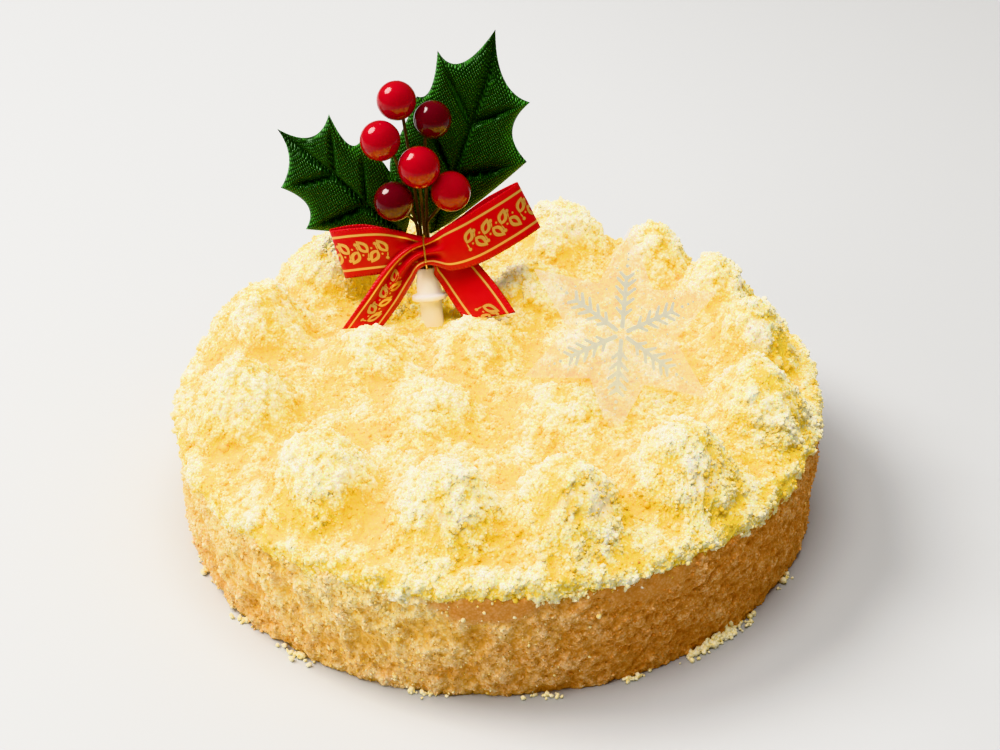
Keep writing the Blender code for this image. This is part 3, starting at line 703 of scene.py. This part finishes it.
def make_cake_wall(material):
    """The wall with its finer crumbs and a flat underside. It also gives its surface for the scattered crumbs
    and how thickly they and the spilled ones lie there."""
    angle, down = (side.ravel() for side in np.meshgrid(
        np.linspace(0, math.tau, WALL_COLUMNS, endpoint=False), np.linspace(0, 1, WALL_ROWS)))
    z = WALL_TOP * (1 - down)
    out = np.stack([np.cos(angle), np.sin(angle), np.zeros(len(angle))], 1)
    points = out * wall_profile(down)[:, None]
    points[:, 2] = z
    smooth = np.zeros(len(angle))
    for middle, height, half_width, half_height in BARE_WALL:
        across = (np.degrees(angle) - middle + 180) % 360 - 180
        reach = np.hypot(across / half_width, (z - height) / half_height)
        smooth = np.maximum(smooth, 1 - smoothstep(0.6, 1.1, reach + 0.25 * swell(points, 3, 83)))
    rough = 1 - 0.85 * smooth
    spilled = spill_share(angle, z)
    grains = lumps(points, 1.1, 61)
    small = lumps(points, 2.4, 71)
    clumps = lumps(points * (1, 1, 0.8), 5.0, 72)
    hollow = smoothstep(0.1, 0.7, swell(points * (1, 1, 0.5), 4.5, 73))
    streaks = swell(points * (1, 1, 0.3), 2.6, 81)
    relief = (0.6 * grains + 0.65 * small + 0.15 * streaks - 0.8) * rough + 0.5 * swell(points, 12, 82)
    relief += rough * (0.5 * (clumps - 0.5) * (1 + spilled) - 1.1 * hollow * (0.25 + spilled))
    relief -= WALL_INSET * smoothstep(WALL_INSET_FROM, WALL_TOP, z)
    # Painted shade: paler on raised grains and clumps, deeper in the hollows, most where crumbs spilled;
    # paler where the cream is bare.
    tone = (0.40 * grains + 0.34 * small + 0.25 * clumps + 0.12 * streaks + 0.1) * rough + 0.55 * smooth
    tone -= 0.35 * hollow * rough * spilled
    points = points + out * relief[:, None]
    faces = grid_faces(WALL_ROWS, WALL_COLUMNS, wrap=True)[:, ::-1]
    # Pale spilled crumbs, partly painted light on the lit front left.
    dusted = spilled * np.clip(0.9 + 0.4 * swell(points, 3.5, 84), 0, 1) * rough
    wall = mesh_object("cake_wall_crumbs", points, faces, material)
    close_underside(wall)
    store(wall, tone=tone, bare=smooth * 0.45, dusted=dusted)
    weight = (np.clip(0.3 + tone, 0.02, 2) * (1 - 0.9 * smooth)) ** 2
    spill_weight = spilled ** 2 * np.clip(0.2 + tone, 0, 2) ** 2 * (1 - 0.8 * smooth)
    return wall, (points, faces, tone, dusted), weight, spill_weight


def close_underside(wall):
    with editable(wall) as bm:
        foot = [edge for edge in bm.edges if edge.is_boundary and edge.verts[0].co.z < 0.5 * MM]
        bmesh.ops.edgeloop_fill(bm, edges=foot)


def turned_at_random(bodies, rng):
    """Each body turned by a random quaternion."""
    turns = unit(rng.normal(size=(len(bodies), 4)))[:, None]
    axis = turns[..., 1:]
    push = 2 * np.cross(axis, bodies)
    return bodies + turns[..., :1] * push + np.cross(axis, push)


def crumbs(name, shape, places, sizes, tones, dusted, material, seed):
    """Uneven little lumps at the places, as one mesh."""
    rng = np.random.default_rng(seed)
    corners, faces = shape
    count, each = len(places), len(corners)
    uneven = 1 + rng.uniform(-0.34, 0.34, size=(count, each, 1))
    stretch = rng.uniform(0.7, 1.25, size=(count, 1, 3))
    bodies = turned_at_random(corners * uneven * stretch * sizes[:, None, None], rng)
    verts = (places[:, None] + bodies).reshape(-1, 3)
    verts[:, 2] = np.maximum(verts[:, 2], 0)
    verts[:, :2] *= np.minimum(1, REACH / np.hypot(verts[:, 0], verts[:, 1]))[:, None]
    all_faces = (faces + (np.arange(count) * each)[:, None, None]).reshape(-1, 3)
    obj = mesh_object(name, verts, all_faces, material, smooth=len(faces) > 8)
    tones = tones + rng.uniform(-0.15, 0.15, count)
    store(obj, tone=np.repeat(tones, each), bare=0, dusted=np.repeat(dusted, each))
    return obj


def scatter(name, surface, shape, weight, material, seed):
    """Crumbs spread over a surface of quads, denser where weight is high."""
    points, faces, tone, dusted = surface
    count, smallest, largest = SCATTERED[name]
    rng = np.random.default_rng(seed)
    corners = points[faces]
    normals = np.cross(corners[:, 2] - corners[:, 0], corners[:, 3] - corners[:, 1])
    odds = np.linalg.norm(normals, axis=1) * weight[faces].mean(1)
    chosen = rng.choice(len(faces), count, p=odds / odds.sum())
    across, along = rng.uniform(size=(2, count, 1))
    a, b, c, d = (corners[chosen, i] for i in range(4))
    places = (a * (1 - across) + b * across) * (1 - along) + (d * (1 - across) + c * across) * along
    sizes = (smallest + (largest - smallest) * rng.uniform(size=count) ** 2.2) / 2
    lift = rng.uniform(-0.6, 0.45, count) * sizes
    places = places + unit(normals[chosen]) * lift[:, None]
    under = faces[chosen, 0]
    return crumbs(name, shape, places, sizes, tone[under] + 0.02, dusted[under], material, seed + 1)


def make_loose_crumbs(material):
    """Crumbs that lie on the table round the foot, most of them in a heap at the right."""
    rng = np.random.default_rng(91)
    heaps = np.array(LOOSE_HEAPS)
    middle, spread = (np.repeat(heaps[:, i], heaps[:, 2].astype(int)) for i in (0, 1))
    count = len(middle)
    angle = np.radians(middle + spread * rng.normal(size=count))
    away = np.abs(rng.normal(size=count)) * 0.9
    sizes = (0.6 + 1.1 * rng.uniform(size=count) ** 1.6) / 2
    radius = np.minimum(FOOT_RADIUS + away, LOOSE_REACH)
    high = rng.uniform(size=count) ** 2 * 2.2 * np.exp(-away) * (middle == heaps[0, 0])
    places = np.stack([radius * np.cos(angle), radius * np.sin(angle), sizes * 0.75 + high], 1)
    tones, dusted = np.full(count, 0.75), np.zeros(count)
    return crumbs("loose_crumbs", icosphere(1), places, sizes, tones, dusted, material, 92)


def make_cake():
    """The crumb coat of the cake, the crumbs scattered on it and those on the table."""
    top_crumb = crumb_material("top_crumb", TOP_COLOURS, grain_height=0.18, glow=0.4)
    top_grains = crumb_material("top_grains", TOP_COLOURS, grain_height=0.02, glow=0.0)
    wall_crumb = crumb_material("wall_crumb", WALL_COLOURS, grain_height=0.12, glow=0.35)
    wall_grains = crumb_material("wall_grains", WALL_COLOURS, grain_height=0.02, glow=0.0)
    top, top_surface, top_weight = make_cake_top(top_crumb)
    wall, wall_surface, wall_weight, spill_weight = make_cake_wall(wall_crumb)
    finish_piece(top, "crumb", *MOUND_NODES)
    finish_piece(wall, "crumb", "cake")
    finish_piece(make_loose_crumbs(top_grains), "crumb")
    scattered = (
        ("top_crumbs_fine", top_surface, octahedron(), top_weight, top_grains, 101),
        ("top_crumbs_round", top_surface, icosphere(1), top_weight ** 2, top_grains, 102),
        ("wall_crumbs_fine", wall_surface, octahedron(), wall_weight, wall_grains, 103),
        ("spilled_crumbs", wall_surface, icosphere(1), spill_weight, top_grains, 104),
    )
    for settings in scattered:
        finish_piece(scatter(*settings), "crumb")


# The holly pick, in its own frame

def on_pick(points):
    """Points of the pick's frame in the cake's frame."""
    turn = Matrix.Rotation(-PICK_TILT_BACK, 4, "X") @ Matrix.Rotation(-PICK_LEAN_LEFT, 4, "Y")
    return moved(points, Matrix.Translation(PICK_FOOT) @ turn)


def smooth_path(points, count):
    """Samples along a smooth curve through the points, which may have any length."""
    points = np.asarray(points, float)
    last = len(points) - 1
    position = np.linspace(0, last, count)
    start = np.minimum(position.astype(int), last - 1)
    t = (position - start)[:, None]
    p0, p1, p2, p3 = (points[np.clip(start + step, 0, last)] for step in (-1, 0, 1, 2))
    return 0.5 * (2 * p1 + (p2 - p0) * t + (2 * p0 - 5 * p1 + 4 * p2 - p3) * t * t
                  + (3 * p1 - p0 - 3 * p2 + p3) * t ** 3)


def tube(path, radius, sides=12):
    """Corners and faces of a wire along the path."""
    ahead = np.roll(path, -1, 0) - np.roll(path, 1, 0)
    ahead[0], ahead[-1] = path[1] - path[0], path[-1] - path[-2]
    ahead = unit(ahead)
    side = unit(np.cross(ahead, (0.31, 0.87, 0.38)))
    other = np.cross(ahead, side)
    turn = np.linspace(0, math.tau, sides, endpoint=False)[:, None]
    ring = side[:, None] * np.cos(turn) + other[:, None] * np.sin(turn)
    return (path[:, None] + ring * radius).reshape(-1, 3), closed_rings(len(path), sides)


def turned(profile, steps):
    """Corners and faces of a profile of (radius, height) turned about Z, closed at its two ends."""
    turn = np.linspace(0, math.tau, steps, endpoint=False)
    rings = [np.stack([r * np.cos(turn), r * np.sin(turn), np.full(steps, z)], 1) for r, z in profile]
    return np.concatenate(rings), [face[::-1] for face in closed_rings(len(profile), steps)]


def make_foot(material):
    """The white foot, turned smooth but for its steep edges."""
    verts, faces = turned(FOOT_PROFILE, FOOT_STEPS)
    foot = mesh_object("pick_stub", on_pick(verts), faces, material)
    with editable(foot) as bm:
        for edge in bm.edges:
            if len(edge.link_faces) == 2 and edge.calc_face_angle(0) > CRISP_ANGLE:
                edge.smooth = False
    finish_piece(foot, "white_plastic", "pick_foot")


def bundle_point(bearing, height):
    """Where the wire with this bearing stands in the bundle that goes down into the foot."""
    angle = math.radians(bearing)
    return (BUNDLE_RADIUS * math.cos(angle),
            BUNDLE_DEPTH * (1 - smoothstep(13.5, 11, height)) + BUNDLE_RADIUS * math.sin(angle), height)


def stem_route(bearing, centre, radius):
    """From the underside of a berry back and down into the bundle."""
    below = np.array((-0.12 * centre[0], BUNDLE_DEPTH + 0.2, centre[2] - radius - 6)) - centre
    start = centre + unit(below) * (radius + 0.2)
    join = bundle_point(bearing, 21)
    middle = ((start[0] + join[0]) / 2, join[1] + 0.4, (start[2] + join[2]) / 2)
    down = [bundle_point(bearing, height) for height in (16, 12.2, 10.9, 9.1)]
    return smooth_path([start, middle, join, *down], 70)


def make_berry(name, centre, radius, below, material):
    """A lacquered ball with a dimple where its wire goes in."""
    verts, faces = icosphere(4)
    towards = verts @ unit(below)
    verts = verts * (1 - 0.05 * smoothstep(0.93, 1.0, towards))[:, None]
    verts = verts * (1 + 0.004 * swell(verts + centre, 0.8, 201))[:, None]
    return mesh_object(name + "_ball", on_pick(centre + verts * radius), faces, material)


def make_berries(red, wine, wire):
    for name, centre, radius, bearing in BERRIES:
        centre = np.array(centre)
        route = stem_route(bearing, centre, radius)
        dark = name in WINE_BERRIES
        ball = make_berry(name, centre, radius, route[0] - centre, wine if dark else red)
        finish_piece(ball, "wine_lacquer" if dark else "red_lacquer", name)
        verts, faces = tube(route, WIRE_RADIUS)
        stem = mesh_object(name + "_wire", on_pick(verts), faces, wire)
        finish_piece(stem, "brown_wire", name + "_stem")


def leaf_rim(side, shares):
    """Points on the leaf's edge for shares of the midrib, and how far each is between two veins."""
    edge, starts = np.asarray(side[0]), np.asarray(side[1])
    arc = np.clip(np.searchsorted(starts, shares, side="right") - 1, 0, len(starts) - 2)
    t = ((shares - starts[arc]) / (starts[arc + 1] - starts[arc]))[:, None]
    start, hollow, end = edge[2 * arc], edge[2 * arc + 1], edge[2 * arc + 2]
    return start * (1 - t) * (1 - 2 * t) + hollow * 4 * t * (1 - t) + end * t * (2 * t - 1), t


def leaf_midrib(points, shares):
    spine = smooth_path(points, 400)
    travelled = np.concatenate([[0], np.cumsum(np.linalg.norm(np.diff(spine, axis=0), axis=1))])
    return np.stack([np.interp(shares, travelled / travelled[-1], spine[:, i]) for i in range(2)], 1)


def leaf_surface(leaf, hand, shares):
    """Front and back of one half of the leaf as grids of points in the pick's frame, how full it is and how
    near the rim; both of these are also painted paler as a highlight."""
    inner = leaf_midrib(leaf["midrib"], shares)
    rim, between = leaf_rim(leaf[hand], shares)
    t = np.linspace(0, 1, LEAF_CROSS_CELLS + 1)
    flat = inner[:, None] * (1 - t[:, None]) + rim[:, None] * t[:, None]
    width = np.linalg.norm(rim - inner, axis=1)[:, None]
    from_vein = np.minimum(between, 1 - between) * 2
    crease = (1 - smoothstep(0.55, 0.85, t)) * smoothstep(0.0, 0.12, t)
    vein = 1 - 0.95 * np.exp(-(from_vein / 0.14) ** 2) * crease
    from_spine = 1 - 0.9 * np.exp(-(t * width / 0.9) ** 2)
    puff = vein * from_spine * np.sqrt(1 - t ** 3.2) * np.minimum(1, width / 5)
    lift = LEAF_FOLD * t * width + LEAF_CURL * np.sin(math.pi * shares)[:, None]
    uneven = 0.16 * swell(np.dstack([flat, flat[..., :1] * 0]), 3.0, 211)
    depths = (leaf["depth"] - lift - LEAF_HALF_SEAM - (LEAF_PUFF + uneven) * puff,
              leaf["depth"] - lift + LEAF_HALF_SEAM + LEAF_BACK_PUFF * puff)
    front, back = (np.dstack([flat[..., 0], y, flat[..., 1]]) for y in depths)
    return front, back, puff, np.broadcast_to(smoothstep(0.7, 1, t), puff.shape)


def make_leaf(name, material):
    """A quilted leaf: a puffed front and back on each side of the midrib, sewn together along the rim."""
    leaf = LEAVES[name]
    shares = np.unique(np.concatenate([np.linspace(0, 1, LEAF_ROWS), leaf["left"][1], leaf["right"][1]]))
    parts, puffs, rims = [], [], []
    for hand in ("left", "right"):
        front, back, puff, painted_rim_highlight = leaf_surface(leaf, hand, shares)
        rows, columns = puff.shape
        parts.append(two_sided(front, back, [np.arange(rows) * columns + columns - 1]))
        puffs += [puff.ravel()] * 2
        rims += [painted_rim_highlight.ravel()] * 2
    verts, faces = joined(parts)
    obj = mesh_object(name + "_cloth", on_pick(verts), faces, material)
    # The material paints the puffed ridges and the rim paler, as a painted highlight.
    store(obj, puff=np.concatenate(puffs), rim=np.concatenate(rims))
    weld(obj)
    finish_piece(obj, "green_fabric", name)


# The ribbon

def pleat_depth(half_width):
    """Depth of the pleats that take up the width of the strip where it is drawn in."""
    steepness = np.linspace(0, 8, 200)
    slope = np.sin(np.linspace(0, math.pi / 2, 60))
    stretch = np.array([np.mean(np.sqrt(1 + (k * slope) ** 2)) for k in steepness])
    wanted = np.clip(RIBBON_HALF / half_width, 1, 3)
    return np.interp(wanted, stretch, steepness) * 2 * half_width / (math.tau * RIBBON_PLEATS)


def ribbon_sheet():
    """Middle points and normals of the strip as grids, with the flat place of each point in millimetres."""
    rows = smooth_path(RIBBON_STATIONS, RIBBON_CELLS + 1)
    centre, width, half, proud = rows[:, :3], unit(rows[:, 3:6]), rows[:, 6], rows[:, 7]
    across = np.linspace(-1, 1, RIBBON_CROSS_CELLS + 1)
    drawn = smoothstep(5.2, 3.6, half)
    crown = proud * (1 - 0.7 * drawn)
    pleats = (pleat_depth(half) * drawn)[:, None] * np.cos(math.tau * RIBBON_PLEATS * across / 2)
    push = crown[:, None] * (1 - across ** 2) + pleats
    points = centre[:, None] + width[:, None] * (half[:, None] * across)[..., None]
    points = points + np.array((0, -1, 0)) * push[..., None]
    ahead = np.gradient(points, axis=0)
    beside = np.gradient(points, axis=1)
    normals = unit(np.cross(ahead, beside))
    along = np.concatenate([[0], np.cumsum(np.linalg.norm(np.diff(centre, axis=0), axis=1))])
    return points, normals, along, across


def make_ribbon(material, print_material):
    """The strip with its thickness, and the print on it."""
    points, normals, along, across = ribbon_sheet()
    rows, columns = points.shape[:2]
    half = normals * RIBBON_THICKNESS / 2
    corners = np.arange(rows * columns).reshape(rows, columns)
    rims = (corners[:, 0], corners[:, -1], corners[0], corners[-1])
    verts, faces = two_sided(points + half, points - half, rims)
    obj = mesh_object("ribbon_bow_cloth", on_pick(verts), faces, material)
    flat = np.broadcast_arrays(across * RIBBON_HALF, along[:, None])
    store(obj, across=np.tile(flat[0].ravel(), 2), along=np.tile(flat[1].ravel(), 2))
    weld(obj)
    finish_piece(obj, "red_satin", "ribbon_bow")
    make_print(points, normals, along, print_material)


def lens(centre, direction, length, width, count=9):
    """Outline of a leaf shape on the flat ribbon."""
    t = np.linspace(0, 1, count)
    bow = np.sin(math.pi * t ** 0.85) * width / 2
    direction = unit(np.array(direction, float))
    side = np.array((-direction[1], direction[0]))
    upper = centre + direction * (t[:, None] * length) + side * bow[:, None]
    lower = centre + direction * (t[::-1, None] * length) - side * bow[::-1, None]
    return np.concatenate([upper, lower[1:-1]])


def filled(outline):
    """A flat shape as a fan of triangles round its middle."""
    middle = outline.mean(0)
    count = len(outline)
    return np.concatenate([outline, middle[None]]), [[i, (i + 1) % count, count] for i in range(count)]


def ring(outer, inner):
    """The flat band between two outlines."""
    count = len(outer)
    faces = [[i, (i + 1) % count, count + (i + 1) % count, count + i] for i in range(count)]
    return np.concatenate([outer, inner]), faces


def disc(centre, radius):
    turn = np.linspace(0, math.tau, 12, endpoint=False)
    return filled(centre + radius * np.stack([np.cos(turn), np.sin(turn)], 1))


def sprig(start, mirror):
    """Leaves with an open vein and berries along a winding twig, on the flat ribbon."""
    shapes = []
    for step in range(6):
        along = start + 2.3 * step
        up = 1 if (step % 2 == 0) != mirror else -1
        root = np.array((along, -0.25 * up))
        direction = np.array((0.72, up))
        outer = lens(root, direction, 3.8, 2.5)
        shapes.append(ring(outer, lens(root + 0.75 * unit(direction), direction, 2.0, 0.85)))
        berry = np.array((along + 0.35, -1.9 * up))
        shapes.append(disc(berry, 0.42))
        twig = np.array((along + 0.2, -0.9 * up))
        shapes.append(filled(lens(root, berry - root, 1.9, 0.34)))
        shapes.append(disc(twig + (1.2, 0.1 * up), 0.26))
    return shapes


def sample(grid, row, column):
    """Values of a grid between its points."""
    r, c = np.floor(row).astype(int), np.floor(column).astype(int)
    r, c = np.clip(r, 0, grid.shape[0] - 2), np.clip(c, 0, grid.shape[1] - 2)
    fr, fc = (row - r)[:, None], (column - c)[:, None]
    return ((grid[r, c] * (1 - fr) + grid[r + 1, c] * fr) * (1 - fc)
            + (grid[r, c + 1] * (1 - fr) + grid[r + 1, c + 1] * fr) * fc)


def make_print(points, normals, along, material):
    """Gold sprigs printed on the outer side of the strip."""
    rows, columns = points.shape[:2]
    row_number = np.arange(rows)
    share = row_number / RIBBON_CELLS
    outer = np.where((share > RIBBON_TURNED[0]) & (share < RIBBON_TURNED[1]), 1.0, -1.0)
    parts = []
    for start, mirror in RIBBON_SPRIGS:
        for flat, faces in sprig(start, mirror):
            row = np.interp(flat[:, 0], along, row_number)
            column = (flat[:, 1] / RIBBON_HALF + 1) / 2 * (columns - 1)
            outward = sample(normals, row, column) * np.interp(row, row_number, outer)[:, None]
            parts.append((sample(points, row, column) + outward * (RIBBON_THICKNESS / 2 + PRINT_LIFT), faces))
    verts, faces = joined(parts)
    finish_piece(mesh_object("ribbon_gold_sprigs", on_pick(verts), faces, material), "red_satin")


def make_tie(material):
    """The thin gold wire once round the knot."""
    loop = np.array([(TIE_X, y, z) for y, z in TIE_ROUTE])
    path = smooth_path(np.concatenate([loop[-2:], loop, loop[:3]]), TIE_SAMPLES)[TIE_CUT:-TIE_CUT]
    verts, faces = tube(path, TIE_RADIUS, 10)
    finish_piece(mesh_object("bow_tie_wire", on_pick(verts), faces, material), "gold_wire", "bow_wire")


def make_pick():
    """The foot, the berries on their wires, the leaves, the bow and its wire."""
    brown = plain_material("brown_wire_coat", (0.055, 0.022, 0.012), (0.12, 0.06, 0.03), 0.42)
    make_foot(plain_material("white_plastic_gloss", (0.82, 0.80, 0.77), (0.86, 0.85, 0.83), 0.28, size=4.0))
    make_berries(lacquer("red_lacquer_gloss", (0.32, 0.001, 0.008), (0.27, 0.001, 0.006)),
                 lacquer("wine_lacquer_gloss", (0.085, 0.001, 0.005), (0.06, 0.0, 0.003)), brown)
    leaf = leaf_material()
    for name in LEAVES:
        make_leaf(name, leaf)
    make_ribbon(satin_material(), plain_material("gold_print", GOLD, (0.62, 0.36, 0.10), 0.38, 0.55, 0.4))
    make_tie(plain_material("gold_wire_metal", (0.90, 0.62, 0.22), (0.75, 0.48, 0.14), 0.25, 1.0))


# The star plate

def on_star(points):
    """Points of the star's own frame, whose Z is its normal, in the cake's frame."""
    normal = STAR_NORMAL.normalized()
    up = (STAR_FIRST_POINT - normal * STAR_FIRST_POINT.dot(normal)).normalized()
    turn = Matrix((up.cross(normal), up, normal)).transposed().to_4x4()
    return moved(points, Matrix.Translation(STAR_CENTRE) @ turn)


def star_outline():
    """The six-pointed outline with slightly rounded points."""
    angle = math.pi / 2 + math.tau * np.arange(12) / 12
    radius = np.where(np.arange(12) % 2, STAR_INNER, STAR_RADIUS)
    corners = np.stack([radius * np.cos(angle), radius * np.sin(angle)], 1)
    outline = []
    for index in range(12):
        corner, before, after = corners[index], corners[index - 1], corners[(index + 1) % 12]
        cut = 0.9 if index % 2 == 0 else 0.4
        start = corner + unit(before - corner) * cut
        end = corner + unit(after - corner) * cut
        for t in np.linspace(0, 1, 5):
            outline.append(start * (1 - t) ** 2 + corner * 2 * t * (1 - t) + end * t * t)
    return np.array(outline)


def make_star():
    """The film as a thin bevelled plate, and the snowflake printed on it."""
    outline = star_outline()
    half = STAR_THICKNESS / 2
    side = half - STAR_BEVEL
    front = ((0.0, half), (0.5, half), (0.995, half), (1.0, side))
    profile = front + tuple((scale, -z) for scale, z in front[::-1])
    rings = [np.column_stack([outline * scale, np.full(len(outline), z)]) for scale, z in profile]
    faces = grid_faces(len(rings), len(outline), wrap=True)[:, ::-1]
    film = mesh_object("star_film", on_star(np.concatenate(rings)), faces, film_material(), smooth=False)
    weld(film)
    finish_piece(film, "frosted_sheet", "star_plate")
    verts, faces = joined([(np.column_stack([flat, np.full(len(flat), half + lift)]), shape_faces)
                           for (flat, shape_faces), lift in snowflake()])
    grey = plain_material("grey_print", (0.50, 0.50, 0.43), (0.56, 0.56, 0.48), 0.6)
    finish_piece(mesh_object("star_snowflake", on_star(verts), faces, grey, smooth=False), "frosted_sheet")


def bar(start, end, width_start, width_end):
    """A flat bar with rounded ends."""
    start, end = np.asarray(start, float), np.asarray(end, float)
    ahead = unit(end - start)
    side = np.array((-ahead[1], ahead[0]))
    turn = np.linspace(-math.pi / 2, math.pi / 2, 7)
    tip = [end + width_end / 2 * (ahead * math.cos(a) + side * math.sin(a)) for a in turn]
    root = [start + width_start / 2 * (-ahead * math.cos(a) - side * math.sin(a)) for a in turn]
    return filled(np.array(tip + root))


def snowflake():
    """Six branched arms with dots past their ends and between them, each with its height on the film."""
    shapes = []
    for arm in range(6):
        angle = math.pi / 2 + math.tau * arm / 6
        ahead = np.array((math.cos(angle), math.sin(angle)))
        side = np.array((-ahead[1], ahead[0]))
        shapes.append((bar(ahead * 1.6, ahead * 12.8, 1.1, 0.9), 0.06))
        for reach, length in ((4.2, 2.3), (6.4, 2.8), (8.6, 3.0), (10.7, 2.8), (12.5, 2.1)):
            for hand in (-1, 1):
                tip = ahead * (reach + length * 0.62) + side * hand * length * 0.72
                shapes.append((bar(ahead * reach, tip, 1.0, 0.75), 0.045 + 0.005 * hand))
        for reach, radius in ((15.4, 0.45), (16.9, 0.36), (18.2, 0.26)):
            shapes.append((disc(ahead * reach, radius), 0.04))
        for reach, away, radius in ((14.6, 2.4, 0.28), (12.4, 3.7, 0.22), (9.6, 4.3, 0.28), (6.2, 4.0, 0.24)):
            for hand in (-1, 1):
                shapes.append((disc(ahead * reach + side * hand * away, radius), 0.04))
    return shapes


# The stage

def make_camera():
    data = bpy.data.cameras.new("camera")
    data.lens = CAMERA_LENS
    data.clip_start = 0.01
    camera = new_object("camera", data)
    turn = Matrix.Rotation(-CAMERA_YAW, 4, "Z") @ Matrix.Rotation(math.pi / 2 - CAMERA_PITCH, 4, "X")
    spin = Matrix.Rotation(CAMERA_ROLL, 4, "Z")
    place = Vector((0, -CAMERA_DISTANCE * math.cos(CAMERA_RISE),
                    CAMERA_DISTANCE * math.sin(CAMERA_RISE) + CAMERA_AIM_HEIGHT)) * MM
    camera.matrix_world = Matrix.Translation(place) @ turn @ spin
    bpy.context.scene.camera = camera


def add_light(name, bearing, rise, distance, size, power, colour):
    """A round area light that shines on the cake from a bearing, counted from +X towards +Y."""
    data = bpy.data.lights.new(name, "AREA")
    data.shape = "DISK"
    data.size = size * MM
    data.energy = power
    data.color = colour
    light = new_object(name, data)
    bearing, rise = math.radians(bearing), math.radians(rise)
    across = math.cos(rise)
    direction = Vector((across * math.cos(bearing), across * math.sin(bearing), math.sin(rise)))
    light.location = (direction * distance + Vector((0, 0, LIGHT_AIM_HEIGHT))) * MM
    light.rotation_euler = direction.to_track_quat("Z", "Y").to_euler()
    light.visible_glossy = name == "key"


def make_stage():
    """A plain floor in a dim warm room with three soft lights, of which only the key shows in gloss."""
    look = Look("pale_floor")
    look.shade(Base_Color=FLOOR_COLOUR, Roughness=0.6)
    corners = np.array(((-1, -1, 0), (1, -1, 0), (1, 1, 0), (-1, 1, 0))) * FLOOR_HALF
    floor = mesh_object("floor", corners, [(0, 1, 2, 3)], look.material)
    world = bpy.data.worlds.new("studio")
    world.use_nodes = True
    background = world.node_tree.nodes["Background"]
    background.inputs["Color"].default_value = (*ROOM_COLOUR, 1)
    background.inputs["Strength"].default_value = ROOM_STRENGTH
    bpy.context.scene.world = world
    bpy.context.scene.view_settings.view_transform = "Khronos PBR Neutral"
    for name, settings in LIGHTS.items():
        add_light(name, *settings)


def main():
    make_cake()
    make_pick()
    make_star()
    make_camera()
    make_stage()


main()
